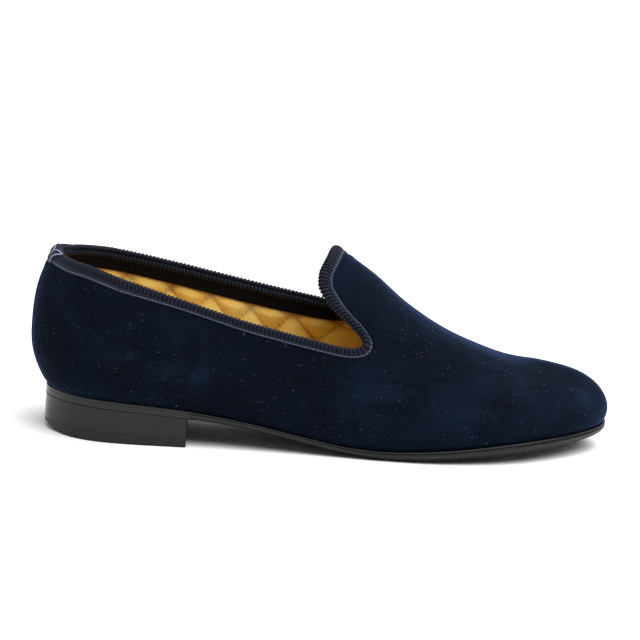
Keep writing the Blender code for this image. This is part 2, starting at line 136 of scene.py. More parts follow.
# Opening: x of the wall section, height of the edge, x where its grid line meets the feather line
OPENING_LATERAL = [
    (-140.0, 89.6, -140.0),
    (-131.5, 87.7, -131.5),
    (-122.4, 86.2, -122.4),
    (-108.0, 81.8, -108.0),
    (-87.8, 75.9, -87.8),
    (-67.7, 70.2, -67.7),
    (-47.9, 64.7, -47.0),
    (-27.1, 60.0, -23.0),
    (-8.0, 56.2, 4.0),
    (3.0, 54.4, 25.0),
    (9.5, 55.0, 44.0),
    (11.5, 57.5, 58.0),
    (9.8, 61.0, 73.0),
    (6.0, 64.8, 87.0),
    (0.5, 69.4, 101.0),
    (-4.2, 73.6, 112.0),
    (-8.2, 78.2, 121.0),
    (-10.6, 83.0, 128.0),
    (-10.1, 88.2, 135.0),
    (-8.6, 91.0, 139.0),
    (-6.5, 93.6, 142.5),
    (-4.6, 95.5, 145.0),
]
OPENING_MEDIAL = [
    (-131.5, 88.1, -131.5),
    (-120.0, 87.0, -120.0),
    (-108.0, 85.8, -108.0),
    (-90.0, 82.6, -90.0),
    (-68.0, 78.4, -68.0),
    (-45.0, 73.8, -44.0),
    (-23.0, 69.4, -20.0),
    (-5.0, 65.8, 6.0),
    (5.0, 64.0, 26.0),
    (11.5, 64.2, 46.0),
    (14.2, 66.6, 61.0),
    (13.6, 70.2, 77.0),
    (11.2, 74.4, 93.0),
    (8.8, 78.6, 106.0),
    (6.8, 82.8, 117.0),
    (5.2, 86.8, 126.5),
    (3.8, 90.4, 134.5),
    (2.4, 93.2, 140.5),
    (1.0, 95.2, 144.5),
]
TONGUE_TIP_X = -0.9

# Soft troughs and swells of the worn velvet: x, y, z, reach, height
DENTS = [
    (-60.0, -36.0, 40.0, 26.0, -0.7),
    (-20.0, -42.0, 30.0, 22.0, -0.5),
    (22.0, -42.0, 42.0, 18.0, 0.5),
    (48.0, -36.0, 46.0, 20.0, -0.6),
    (30.0, -12.0, 74.0, 16.0, -0.4),
    (84.0, -22.0, 44.0, 18.0, 0.4),
    (-50.0, 32.0, 42.0, 24.0, -0.7),
    (10.0, 38.0, 38.0, 22.0, -0.5),
    (52.0, 36.0, 44.0, 20.0, 0.5),
    (-118.0, -22.0, 62.0, 18.0, -0.4),
]


def smooth(x, table, column):
    """Cubic through one column of a table; each slope is the mean of its neighbours'."""
    rows = np.array(table, float)
    xs = rows[:, 0]
    return hermite(np.clip(x, xs[0], xs[-1]), xs, rows[:, column], np.gradient(rows[:, column], xs))


def hermite(x, xs, ys, slope):
    """Cubic through points with given slopes."""
    i = np.clip(np.searchsorted(xs, x, side="right") - 1, 0, len(xs) - 2)
    h = xs[i + 1] - xs[i]
    t = (x - xs[i]) / h
    start = (2 * t**3 - 3 * t**2 + 1) * ys[i] + (t**3 - 2 * t**2 + t) * h * slope[i]
    return start + (3 * t**2 - 2 * t**3) * ys[i + 1] + (t**3 - t**2) * h * slope[i + 1]


def ramp(x, low, high):
    """Smooth step: 0 below low, 1 above high, 3t^2 - 2t^3 between."""
    t = np.clip((x - low) / (high - low), 0, 1)
    return t * t * (3 - 2 * t)


def hump(x, middle, reach):
    """Bell curve exp(-((x - middle) / reach)^2)."""
    return np.exp(-(((x - middle) / reach) ** 2))


def unit(vectors):
    """Vectors brought to length 1; the last axis holds the coordinates."""
    return vectors / np.linalg.norm(vectors, axis=-1)[..., None]


def loop_normals(loop):
    """Unit normals of a closed plane curve, to the right of the way it runs."""
    ahead = np.roll(loop, -1, axis=0) - np.roll(loop, 1, axis=0)
    return unit(np.column_stack([ahead[:, 1], -ahead[:, 0]]))


def through(points, steps):
    """Closed centripetal Catmull-Rom curve through the points."""
    p = np.array(points, float)
    p = np.vstack([p[-1], p, p[0], p[1]])
    gaps = np.sqrt(np.linalg.norm(np.diff(p, axis=0), axis=1))[:, None] + 1e-9
    p0, p1, p2, p3 = p[:-3], p[1:-2], p[2:-1], p[3:]
    a, b, c = gaps[:-2], gaps[1:-1], gaps[2:]
    leave = b * ((p1 - p0) / a - (p2 - p0) / (a + b) + (p2 - p1) / b)
    arrive = b * ((p2 - p1) / b - (p3 - p1) / (b + c) + (p3 - p2) / c)
    t = np.linspace(0, 1, steps, endpoint=False)[None, :, None]
    start = (2 * t**3 - 3 * t**2 + 1) * p1[:, None] + (t**3 - 2 * t**2 + t) * leave[:, None]
    end = (3 * t**2 - 2 * t**3) * p2[:, None] + (t**3 - t**2) * arrive[:, None]
    return (start + end).reshape(-1, p.shape[1])


def travelled(line):
    """Distance along a polyline, from 0, at each of its points; the last axis holds the coordinates."""
    steps = np.linalg.norm(np.diff(line, axis=-2), axis=-1)
    return np.concatenate([np.zeros(steps.shape[:-1] + (1,)), np.cumsum(steps, axis=-1)], axis=-1)


STEPS = 24
FEATHER_ROWS = np.array(FEATHER)
LOOP = through(np.vstack([FEATHER_ROWS[:, [0, 1]], FEATHER_ROWS[-2:0:-1][:, [0, 2]]]), STEPS)
TURN = STEPS * (len(FEATHER) - 1)
LATERAL = LOOP[: TURN + 1]
MEDIAL = np.vstack([LOOP[TURN:], LOOP[:1]])[::-1]


def spine_y(x):
    """Sideways place of the spine at x."""
    return smooth(x, SPINE, 1)


def polar(loop, centre):
    """Angle and distance of a loop's points seen from a point on the spine, by rising angle."""
    d = loop - centre
    angle = np.arctan2(d[:, 1], d[:, 0]) % (2 * np.pi)
    order = np.argsort(angle)
    angle = angle[order]
    size = np.linalg.norm(d, axis=1)[order]
    angle = np.concatenate([angle[-1:] - 2 * np.pi, angle, angle[:1] + 2 * np.pi])
    return angle, np.concatenate([size[-1:], size, size[:1]])


HEEL_CENTRE = np.array([HEEL_END, spine_y(HEEL_END)])
TOE_CENTRE = np.array([TOE_END, spine_y(TOE_END)])
HEEL_POLAR = polar(LOOP, HEEL_CENTRE)
TOE_POLAR = polar(LOOP, TOE_CENTRE)


def reach(flat):
    """Foot on the spine, unit direction, distance to the feather line and share of it, for plan points."""
    x = np.clip(flat[..., 0], HEEL_END, TOE_END)
    foot = np.stack([x, spine_y(x)], -1)
    out = flat - foot
    size = np.linalg.norm(out, axis=-1)
    way = out / np.maximum(size, 1e-9)[..., None]
    lateral = foot[..., 1] - np.interp(x, LATERAL[:, 0], LATERAL[:, 1])
    medial = np.interp(x, MEDIAL[:, 0], MEDIAL[:, 1]) - foot[..., 1]
    full = np.where(out[..., 1] < 0, lateral, medial)
    angle = np.arctan2(out[..., 1], out[..., 0]) % (2 * np.pi)
    full = np.where(flat[..., 0] < HEEL_END, np.interp(angle, *HEEL_POLAR), full)
    full = np.where(flat[..., 0] > TOE_END, np.interp(angle, *TOE_POLAR), full)
    return foot, way, full, size / full


def last(flat):
    """Surface of the last over its plan.

    Each section runs from the feather line (share 1) to the spine (share 0). Its foot leans out to the
    bulge as a parabola; above the bulge it is a superellipse that ends level on the spine.
    """
    foot, way, full, share = reach(flat)
    edge_x = (foot + way * full[..., None])[..., 0]
    climb = 1.0 - share
    side = 0.5 + 0.5 * way[..., 1]
    over = smooth(edge_x, BULGE, 1) * (1 - side) + smooth(edge_x, BULGE, 2) * side
    rise = smooth(edge_x, BULGE, 3)
    base = smooth(edge_x, SOLE, 1) + GAP
    low = np.clip(climb / FOOT_SHARE, 0, 1)
    turn = np.clip((climb - FOOT_SHARE) / (1 - FOOT_SHARE), 0, 1) * np.pi / 2
    power = 2.0 / smooth(edge_x, SPINE, 3)
    above = climb >= FOOT_SHARE
    width = np.where(above, (full + over) * np.cos(turn) ** power, full + over * (1 - (1 - low) ** 2))
    plan = foot + way * width[..., None]
    top = smooth(plan[..., 0], SPINE, 2)
    height = np.where(above, base + rise + (top - base - rise) * np.sin(turn) ** power, base + rise * low)
    return np.concatenate([plan, height[..., None]], -1)


def slopes(flat):
    """Change of the last's surface per millimetre of plan x and of plan y."""
    step = 0.05
    dx = (last(flat + [step, 0]) - last(flat - [step, 0])) / (2 * step)
    dy = (last(flat + [0, step]) - last(flat - [0, step])) / (2 * step)
    return dx, dy


def normals(flat):
    """Outward unit normals of the last's surface at plan points."""
    return unit(np.cross(*slopes(flat)))


def plan_at_height(x, height, side):
    """Plan point on the wall section at feather-line x whose surface is at a height."""
    half = LATERAL if side < 0 else MEDIAL
    edge = np.array([x, np.interp(x, half[:, 0], half[:, 1])])
    foot_x = min(max(x, HEEL_END), TOE_END)
    foot = np.array([foot_x, spine_y(foot_x)])
    flat = foot + (edge - foot) * np.linspace(1.0, 0.0, 400)[:, None]
    z = last(flat)[:, 2]
    return np.array([np.interp(height, z, flat[:, 0]), np.interp(height, z, flat[:, 1])])


def between_rows(table, times):
    """Rows of a table with more rows put between them, on a cubic through its own."""
    index = np.arange(len(table), dtype=float)
    t = np.linspace(0, index[-1], times * (len(table) - 1) + 1)
    return np.column_stack([hermite(t, index, column, np.gradient(column)) for column in np.array(table).T])


def opening_edge(count, gather):
    """Edge of the opening in plan, heel centre first, and the feather-line points its grid lines run to.

    Points lie at equal distances, or gather round the notches and the back seam when asked.
    """
    tip = np.array([TONGUE_TIP_X, spine_y(TONGUE_TIP_X)])
    lateral_rows = between_rows(OPENING_LATERAL, 4)
    medial_rows = between_rows(OPENING_MEDIAL, 4)
    lateral = [plan_at_height(x, z, -1) for x, z, target in lateral_rows]
    medial = [plan_at_height(x, z, 1) for x, z, target in medial_rows]
    steps = 4
    curve = through(lateral + [tip] + medial[::-1], steps)
    curve = np.vstack([curve, curve[:1]])
    half = travelled(LATERAL)
    other = travelled(MEDIAL)
    keys = [np.interp(target, LATERAL[:, 0], half) for x, z, target in lateral_rows]
    keys += [half[-1]]
    keys += [half[-1] + other[-1] - np.interp(t, MEDIAL[:, 0], other) for x, z, t in medial_rows[::-1]]
    keys = np.array(keys + [half[-1] + other[-1]])
    distance = travelled(last(curve))
    density = np.ones(len(curve))
    if gather:
        for side in (-1, 1):
            notch = np.argmax(np.where(curve[:, 1] * side > 15, curve[:, 0], -999))
            density += 1.8 * hump(distance, distance[notch], 13.0)
        density += 2.5 * (hump(distance, 0.0, 5.0) + hump(distance, distance[-1], 5.0))
    middle = (density[1:] + density[:-1]) / 2 * np.diff(distance)
    weight = np.concatenate([[0.0], np.cumsum(middle)])
    wanted = np.interp(np.linspace(0, weight[-1], count, endpoint=False), weight, distance)
    edge = np.column_stack([np.interp(wanted, distance, curve[:, k]) for k in range(2)])
    key_distance = distance[::steps]
    target = hermite(wanted, key_distance, keys, np.gradient(keys, key_distance))
    ring = np.vstack([LATERAL, MEDIAL[::-1][1:]])
    around = travelled(ring)
    feather = np.column_stack([np.interp(target, around, ring[:, k]) for k in range(2)])
    return edge, feather, wanted, distance[-1]


def grid_lines(count, gather, samples=160):
    """Cubic curves in plan from the opening's edge to the feather line, square to the edge at the start."""
    edge, feather, place, length = opening_edge(count, gather)
    surface = last(edge)
    tangent = unit(np.roll(surface, -1, axis=0) - np.roll(surface, 1, axis=0))
    inward = np.cross(tangent, normals(edge))
    dx, dy = slopes(edge)
    a = (dx * dx).sum(1)
    b = (dx * dy).sum(1)
    c = (dy * dy).sum(1)
    p = (dx * inward).sum(1)
    q = (dy * inward).sum(1)
    start = np.column_stack([c * p - b * q, a * q - b * p]) / (a * c - b * b)[:, None]
    pull = unit(reach(feather)[0] - feather)
    span = np.linalg.norm(feather - edge, axis=1)[:, None]
    one = edge + start * np.clip(span * 0.16, 6.0, 15.0)
    two = feather + pull * np.minimum(14.0, span * 0.33)
    t = np.linspace(0, 1, samples)[None, :, None]
    line = (1 - t) ** 3 * edge[:, None] + 3 * (1 - t) ** 2 * t * one[:, None]
    line = line + 3 * (1 - t) * t**2 * two[:, None] + t**3 * feather[:, None]
    return line, place, length


def pick(lines, wanted):
    """Points at wanted distances along each line; the distances are measured on the last's surface."""
    distance = travelled(last(lines))
    i = (distance[:, :, None] <= wanted[:, None, :]).sum(1) - 1
    i = np.clip(i, 0, lines.shape[1] - 2)
    low = np.take_along_axis(distance, i, 1)
    high = np.take_along_axis(distance, i + 1, 1)
    share = ((wanted - low) / (high - low))[..., None]
    start = np.take_along_axis(lines, i[..., None], 1)
    end = np.take_along_axis(lines, (i + 1)[..., None], 1)
    return start + (end - start) * share


def wall_grid(count, rows, close, turns):
    """Plan grid of the wall: rows at the close distances from the edge, then easing to the feather line."""
    lines, place, length = grid_lines(count, True)
    total = travelled(last(lines))[:, -1:]
    t = np.linspace(0, 1, rows + 2 - len(close))[1:][None, :]
    power = 1.0 + 0.7 * np.clip((total - 70) / 60, 0, 1)
    rest = close[-1] + (total - close[-1]) * (1 - (1 - t) ** power)
    wanted = np.concatenate([np.repeat(close[None, :], count, axis=0), rest], axis=1)
    grid = pick(lines, wanted)
    row = np.arange(rows + 1)
    amount = 0.45 * (1 - row / rows) * ramp(row, len(close) - 1, len(close) + 6)
    for turn in range(turns):
        around = (np.roll(grid, 1, axis=0) + np.roll(grid, -1, axis=0)) / 2
        grid = grid + amount[None, :, None] * (around - grid)
    return grid, place, length


def outline_columns(extra, fan=44, straight=150):
    """Edge points of the sole's outline and their feet on the spine, matched left and right, heel first.

    The outline is the feather line moved out along its normals by the ledge plus an extra distance.
    """
    moved = LOOP + loop_normals(LOOP) * (smooth(LOOP[:, 0], SOLE, 4) + extra)[:, None]
    sides = []
    x = HEEL_END + (TOE_END - HEEL_END) * np.linspace(0, 1, straight)
    clear_of_tips = np.abs(moved[:, 0]) < 130
    for keep in (moved[:, 1] < 0, moved[:, 1] > 12):
        part = moved[keep & clear_of_tips]
        part = part[np.argsort(part[:, 0])]
        sides.append(np.column_stack([x, np.interp(x, part[:, 0], part[:, 1])]))
    ends = []
    for centre, start in ((HEEL_CENTRE, np.pi / 2), (TOE_CENTRE, -np.pi / 2)):
        turn = np.linspace(start, start + np.pi, fan)[1:-1]
        r = np.interp(turn % (2 * np.pi), *polar(moved, centre))
        ends.append(centre + r[:, None] * np.column_stack([np.cos(turn), np.sin(turn)]))
    edge = np.vstack([ends[0], sides[0], ends[1], sides[1][::-1]])
    foot_x = np.clip(edge[:, 0], HEEL_END, TOE_END)
    foot = np.column_stack([foot_x, spine_y(foot_x)])
    return edge, foot


SOLE_EDGE, SOLE_FOOT = outline_columns(0.0)
SPLIT_Y = 4.0


def edges_at(x):
    """Sideways places of the outsole's lateral and medial edge at x."""
    low = SOLE_EDGE[SOLE_EDGE[:, 1] < SPLIT_Y]
    high = SOLE_EDGE[SOLE_EDGE[:, 1] >= SPLIT_Y]
    low = low[np.argsort(low[:, 0])]
    high = high[np.argsort(high[:, 0])]
    return np.interp(x, low[:, 0], low[:, 1]), np.interp(x, high[:, 0], high[:, 1])


def sole_top(x, y):
    """Upper face of the outsole: its edge height less the sag, times (1 - share across squared) squared."""
    low, high = edges_at(x)
    share = np.clip((2 * y - low - high) / np.maximum(high - low, 1e-6), -1, 1)
    return smooth(x, SOLE, 1) - smooth(x, SOLE, 3) * (1 - share**2) ** 2


def sole_underside(x, y):
    """Lower face of the outsole, flattened where it stands on the floor."""
    return np.maximum(sole_top(x, y) - smooth(x, SOLE, 2), 0.0)


def quad_faces(columns, rows, ring=True, tube=False, flip=False):
    """Quads of a grid whose point index is column * rows + row.

    A ring joins the last column to the first, a tube the last row to the first.
    """
    k = np.arange(columns if ring else columns - 1)[:, None]
    j = np.arange(rows if tube else rows - 1)[None, :]
    n = (k + 1) % columns
    m = (j + 1) % rows
    faces = np.stack([k * rows + j, k * rows + m, n * rows + m, n * rows + j], -1).reshape(-1, 4)
    return faces[:, ::-1] if flip else faces


def add_piece(name, points, faces, replaced, merge=0.0):
    """A finished mesh object in metres: rides on the shoe, stands for CAD nodes."""
    mesh = bpy.data.meshes.new(name)
    mesh.from_pydata((np.asarray(points).reshape(-1, 3) * MM).tolist(), [], [list(face) for face in faces])
    mesh.update()
    mesh.shade_smooth()
    item = bpy.data.objects.new(name, mesh)
    bpy.context.scene.collection.objects.link(item)
    if merge:
        close_seams(mesh, merge)
    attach(item, "root")
    if replaced:
        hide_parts(*replaced)
    return item


def close_seams(mesh, distance):
    """Merge points closer than a distance in metres, so that poles and seams close."""
    work = bmesh.new()
    work.from_mesh(mesh)
    bmesh.ops.remove_doubles(work, verts=work.verts, dist=distance)
    bmesh.ops.dissolve_degenerate(work, dist=distance / 2, edges=work.edges)
    work.to_mesh(mesh)
    work.free()
    mesh.update()
    mesh.shade_smooth()


def paint_points(item, name, values):
    """Store one value a point as a named attribute that a material reads."""
    attribute = item.data.attributes.new(name, "FLOAT", "POINT")
    attribute.data.foreach_set("value", np.ascontiguousarray(values, np.float32).ravel())


def cloth_map(item):
    """New UV map of a piece, and the point index at each of its face corners."""
    mesh = item.data
    layer = mesh.uv_layers.new(name="cloth")
    corner = np.zeros(len(mesh.loops), np.int32)
    mesh.loops.foreach_get("vertex_index", corner)
    return layer, corner


def lay_uv(item, u, v, ring_length):
    """UV map in metres from u and v of the points; faces over a ring's seam get the ring's length added."""
    layer, corner = cloth_map(item)
    u, v = np.broadcast_arrays(u, v)
    quads = np.column_stack([u.ravel()[corner], v.ravel()[corner]]).reshape(-1, 4, 2)
    span = quads[:, :, 0].max(1) - quads[:, :, 0].min(1)
    over = (span > ring_length / 2)[:, None] & (quads[:, :, 0] < ring_length / 2)
    quads[:, :, 0] += np.where(over, ring_length, 0.0)
    layer.data.foreach_set("uv", (quads.reshape(-1, 2) * MM).ravel())


def plan_uv(item, points):
    """UV map in metres that lays x and y of the points flat."""
    layer, corner = cloth_map(item)
    layer.data.foreach_set("uv", (points[corner][:, :2] * MM).ravel())


def add_wall(item, thickness):
    """Real thickness behind a sheet's face, as a Solidify modifier."""
    modifier = item.modifiers.new("wall", "SOLIDIFY")
    modifier.thickness = thickness * MM
    modifier.offset = -1.0


# Materials
def srgb(red, green, blue):
    """Linear colour from an eye-matched one with parts from 0 to 255."""
    parts = np.array([red, green, blue]) / 255.0
    return tuple(np.where(parts <= 0.04045, parts / 12.92, ((parts + 0.055) / 1.055) ** 2.4).tolist())


class Nodes:
    """Short-hand for filling a node tree: makes nodes, sets or links their inputs, gives an output."""

    def __init__(self, tree):
        self.tree = tree

    def fill(self, node, inputs):
        for key, value in inputs.items():
            if isinstance(value, bpy.types.NodeSocket):
                self.tree.links.new(value, node.inputs[key])
            else:
                node.inputs[key].default_value = value

    def add(self, kind, inputs=None, **settings):
        node = self.tree.nodes.new(kind)
        for key, value in settings.items():
            setattr(node, key, value)
        self.fill(node, inputs or {})
        return node

    def math(self, operation, first, second=0.5):
        return self.add("ShaderNodeMath", {0: first, 1: second}, operation=operation).outputs[0]

    def vector(self, operation, *inputs):
        return self.add("ShaderNodeVectorMath", dict(enumerate(inputs)), operation=operation).outputs[0]

    def split(self, vector):
        return self.add("ShaderNodeSeparateXYZ", {0: vector}).outputs

    def mix(self, factor, first, second):
        inputs = {0: factor, 6: (*first, 1) if isinstance(first, tuple) else first, 7: (*second, 1)}
        return self.add("ShaderNodeMix", inputs, data_type="RGBA").outputs[2]

    def span(self, value, low, high, to_low=0.0, to_high=1.0):
        inputs = {0: value, 1: low, 2: high, 3: to_low, 4: to_high}
        return self.add("ShaderNodeMapRange", inputs, clamp=True).outputs[0]

    def noise(self, place, scale, detail, **more):
        inputs = {"Vector": place, "Scale": scale, "Detail": detail, **more}
        return self.add("ShaderNodeTexNoise", inputs).outputs[0]

    def place(self):
        return self.add("ShaderNodeTexCoord").outputs["Object"]

    def painted(self, name):
        return self.add("ShaderNodeAttribute", attribute_name=name).outputs["Fac"]

    def cloth(self):
        return self.add("ShaderNodeUVMap", uv_map="cloth").outputs[0]

    def bump(self, strength, distance, height):
        inputs = {"Strength": strength, "Distance": distance, "Height": height}
        return self.add("ShaderNodeBump", inputs).outputs[0]


def new_material(name, colour, roughness):
    """Material with a Principled shader, its node helper and that shader."""
    material = bpy.data.materials.new(name)
    material.use_nodes = True
    material.diffuse_color = (*colour, 1.0)
    shader = material.node_tree.nodes["Principled BSDF"]
    n = Nodes(material.node_tree)
    n.fill(shader, {"Base Color": (*colour, 1.0), "Roughness": roughness})
    return material, n, shader


def new_group(name, inputs, outputs):
    """Shader node group with named sockets; gives its node helper, its inputs and its output node."""
    group = bpy.data.node_groups.new(name, "ShaderNodeTree")
    group.interface.new_socket("Vector", in_out="INPUT", socket_type="NodeSocketVector")
    for label, value in inputs.items():
        socket = group.interface.new_socket(label, in_out="INPUT", socket_type="NodeSocketFloat")
        socket.default_value = value
    for label in outputs:
        group.interface.new_socket(label, in_out="OUTPUT", socket_type="NodeSocketFloat")
    n = Nodes(group)
    return n, n.add("NodeGroupInput").outputs, n.add("NodeGroupOutput")


def weave_group():
    """Woven threads: the product of two crossed waves on the cloth's UV map, plus a cloud, as a height."""
    name = "woven threads"
    if name in bpy.data.node_groups:
        return bpy.data.node_groups[name]
    n, given, result = new_group(name, {"Threads": 900.0}, ["Height"])
    scaled = n.add("ShaderNodeVectorMath", {0: given[0], 3: given[1]}, operation="SCALE").outputs[0]
    split = n.split(scaled)
    across = n.math("SINE", n.math("MULTIPLY", split[0], 2 * math.pi))
    down = n.math("SINE", n.math("MULTIPLY", split[1], 2 * math.pi))
    height = n.math("MULTIPLY", across, down)
    n.fill(result, {0: n.math("ADD", height, n.noise(given[0], 60.0, 3.0))})
    return n.tree


def grain_group():
    """Fine leather grain with scuffs: cell edges and stretched noise as a height, and a wear mask."""
    name = "leather grain"
    if name in bpy.data.node_groups:
        return bpy.data.node_groups[name]
    n, given, result = new_group(name, {"Grain": 700.0, "Scuffs": 40.0}, ["Height", "Wear"])
    cells = n.add("ShaderNodeTexVoronoi", {"Vector": given[0], "Scale": given[1]}, feature="SMOOTH_F1")
    stretched = n.vector("MULTIPLY", given[0], (0.35, 1.0, 2.2))
    scuffs = n.noise(stretched, given[2], 6.0, Roughness=0.65)
    height = n.math("ADD", n.math("MULTIPLY", cells.outputs[0], 0.5), n.math("MULTIPLY", scuffs, 0.5))
    n.fill(result, {0: height, 1: n.span(scuffs, 0.5, 0.72)})
    return n.tree


# Patches of brushed velvet: centre and reach in metres
BRUSHED_PATCHES = [
    ((-0.080, -0.036, 0.038), (0.026, 0.03, 0.0075)),
    ((-0.105, -0.034, 0.046), (0.012, 0.03, 0.005)),
    ((0.092, -0.03, 0.036), (0.014, 0.03, 0.008)),
    ((0.070, -0.034, 0.026), (0.02, 0.03, 0.005)),
    ((0.022, -0.036, 0.034), (0.02, 0.03, 0.006)),
    ((0.128, -0.02, 0.030), (0.012, 0.02, 0.008)),
]


def flecks(n, place, stretch, reach, share):
    """Mask of scattered flecks: the middles of a share of Voronoi cells on stretched, bent coordinates."""
    bend = n.add("ShaderNodeTexNoise", {"Vector": place, "Scale": 60.0, "Detail": 1.0}).outputs["Color"]
    bent = n.vector("MULTIPLY_ADD", bend, (0.006, 0.006, 0.006), place)
    cells = n.add("ShaderNodeTexVoronoi", {"Vector": n.vector("MULTIPLY", bent, stretch), "Scale": 1.0})
    parts = n.add("ShaderNodeSeparateColor", {0: cells.outputs["Color"]}).outputs
    near = n.span(cells.outputs["Distance"], reach * 0.4, reach, 1.0, 0.0)
    strength = n.math("MULTIPLY", near, n.span(parts[1], 0.0, 1.0, 0.25, 1.0))
    return n.math("MULTIPLY", strength, n.math("LESS_THAN", parts[0], share))


def toe_ribs(n, place):
    """Mask of the faint diagonal ribs on the outer side of the toe; they fade out backwards and upwards."""
    waves = {"Vector": place, "Scale": 300.0, "Distortion": 0.9, "Detail": 1.0}
    rows = n.add("ShaderNodeTexWave", waves, bands_direction="DIAGONAL").outputs[1]
    x, y, z = n.split(place)
    at_toe = n.math("MULTIPLY", n.span(x, 0.124, 0.142), n.span(z, 0.036, 0.022))
    at_toe = n.math("MULTIPLY", at_toe, n.span(y, 0.002, -0.012))
    return n.math("MULTIPLY", rows, at_toe)


def velvet_material(settings):
    """Navy velvet: brushed patches, streaked pile, lint and hairs, faint ribs at the toe, grazing sheen and
    painted rim sheen.
    """
    material, n, shader = new_material("navy velvet", settings.colour[:], 0.9)
    place = n.place()
    patch = n.noise(place, 24.0, 5.0, Roughness=0.6, Distortion=0.8)
    nap = n.noise(n.vector("MULTIPLY", place, (0.35, 0.6, 1.0)), 620.0, 4.0, Roughness=0.7)
    tone = n.mix(n.span(patch, 0.45, 0.72), tuple(settings.colour), settings.brushed)
    tone = n.mix(n.span(nap, 0.42, 0.74, 0.0, 0.6), tone, settings.brushed)
    ragged = n.math("MULTIPLY", n.span(nap, 0.35, 0.65, 0.3, 1.0), n.span(patch, 0.38, 0.58, 0.3, 1.0))
    for centre, size in BRUSHED_PATCHES:
        away = n.vector("DIVIDE", n.vector("SUBTRACT", place, centre), size)
        away = n.add("ShaderNodeVectorMath", {0: away}, operation="LENGTH").outputs["Value"]
        worn = n.math("MULTIPLY", n.span(away, 1.0, 0.2), ragged)
        tone = n.mix(n.math("MULTIPLY", worn, 0.42), tone, settings.ribbing)
    tone = n.mix(n.math("MULTIPLY", toe_ribs(n, place), 0.45), tone, settings.ribbing)
    dots = flecks(n, place, (430.0, 560.0, 500.0), 0.22, 0.035)
    lying = flecks(n, place, (180.0, 180.0, 1500.0), 0.26, 0.09)
    standing = flecks(n, place, (1400.0, 210.0, 210.0), 0.24, 0.05)
    hairs = n.math("MULTIPLY", n.math("MAXIMUM", lying, standing), 0.42)
    # Painted sheen: towards the contours the colour turns to the rim colour, and at the very edge to the
    # lint colour.
    facing = n.add("ShaderNodeLayerWeight", {"Blend": 0.35}).outputs["Facing"]
    tone = n.mix(n.span(facing, 0.6, 1.0, 0.0, 0.7), tone, settings.rim)
    # Painted highlight: the lint colour also lightens the outermost contour.
    tone = n.mix(n.span(facing, 0.9, 1.0, 0.0, 0.55), tone, settings.lint_and_rim_highlight_colour)
    lint = n.math("MULTIPLY", n.math("MAXIMUM", dots, hairs), settings.lint)
    height = n.math("ADD", n.noise(place, 2600.0, 2.0), n.math("MULTIPLY", nap, 1.2))
    n.fill(shader, {
        "Base Color": n.mix(lint, tone, settings.lint_and_rim_highlight_colour),
        "Normal": n.bump(0.4, 0.0005, height),
        "Specular IOR Level": 0.03,
        "Sheen Weight": settings.sheen,
        "Sheen Roughness": 0.24,
        "Sheen Tint": (*settings.sheen_tint, 1),
    })
    return material


def satin_material(settings, name="gold satin"):
    """Gold satin over wadding: painted highlight on the crown of each quilt and on folds, painted brown
    shade in its sewn creases.
    """
    material, n, shader = new_material(name, settings.colour[:], 0.42)
    quilt = n.painted("quilt")
    folds = n.noise(n.place(), 95.0, 4.0, Roughness=0.55)
    weave = n.add("ShaderNodeGroup", {0: n.cloth(), 1: 1500.0}, node_tree=weave_group()).outputs[0]
    # Painted shade: brown down in the sewn creases, gold on the puffs.
    tone = n.mix(n.span(quilt, 0.0, 0.36), tuple(settings.crease_shade), settings.colour)
    # Painted highlight: the bright colour on the crown of each puff and on the crests of the folds noise.
    tone = n.mix(n.span(quilt, 0.45, 1.0, 0.0, 0.5), tone, settings.bright)
    tone = n.mix(n.span(folds, 0.38, 0.66, 0.0, 0.6), tone, settings.bright)
    # Painted shade: black where the quilt value is below zero.
    shadow = n.span(quilt, -0.1, -0.7)
    n.fill(shader, {
        "Base Color": n.mix(shadow, tone, (0.004, 0.003, 0.003)),
        "Roughness": n.span(folds, 0.3, 0.7, 0.34, 0.5),
        "Normal": n.bump(0.7, 0.003, n.math("ADD", folds, n.math("MULTIPLY", weave, 0.06))),
        "Sheen Weight": 0.2,
        "Sheen Tint": (1.0, 0.85, 0.55, 1),
    })
    return material


def ribbon_material(settings):
    """Ribbed grosgrain: silky crowns of the ribs, painted shade in the dark valleys, and a paler worn
    selvedge.
    """
    material, n, shader = new_material("navy grosgrain", settings.colour[:], 0.5)
    rib = n.painted("rib")
    cloth = n.cloth()
    weave = n.add("ShaderNodeGroup", {0: cloth, 1: 2400.0}, node_tree=weave_group()).outputs[0]
    fuzz = n.noise(cloth, 900.0, 3.0)
    # Painted shade: darker in the valleys between the ribs, the ribbon's colour on their crowns.
    tone = n.mix(n.span(rib, 0.3, 0.97), tuple(settings.valley_shade), settings.colour)
    tone = n.mix(n.math("MULTIPLY", n.painted("selvedge"), 0.75), tone, settings.selvedge)
    worn = n.math("MULTIPLY", n.span(fuzz, 0.45, 0.7, 0.0, 0.5), n.span(rib, 0.3, 0.9))
    n.fill(shader, {
        "Base Color": n.mix(worn, tone, settings.selvedge),
        "Roughness": n.span(rib, 0.2, 0.9, 0.7, 0.42),
        "Normal": n.bump(0.45, 0.00025, n.math("ADD", n.math("MULTIPLY", weave, 0.4), fuzz)),
        "Specular IOR Level": 0.11,
        "Sheen Weight": 0.1,
        "Sheen Tint": (0.25, 0.36, 0.7, 1),
    })
    return material


def thread_material(name, colour):
    """Twisted sewing thread."""
    material, n, shader = new_material(name, colour[:], 0.6)
    waves = {"Vector": n.place(), "Scale": 900.0, "Distortion": 1.5}
    twist = n.add("ShaderNodeTexWave", waves).outputs[1]
    n.fill(shader, {
        "Base Color": n.mix(n.span(twist, 0.1, 0.9, 0.0, 0.4), tuple(colour), (0.02, 0.025, 0.04)),
        "Normal": n.bump(0.4, 0.0001, twist),
        "Sheen Weight": 0.3,
    })
    return material


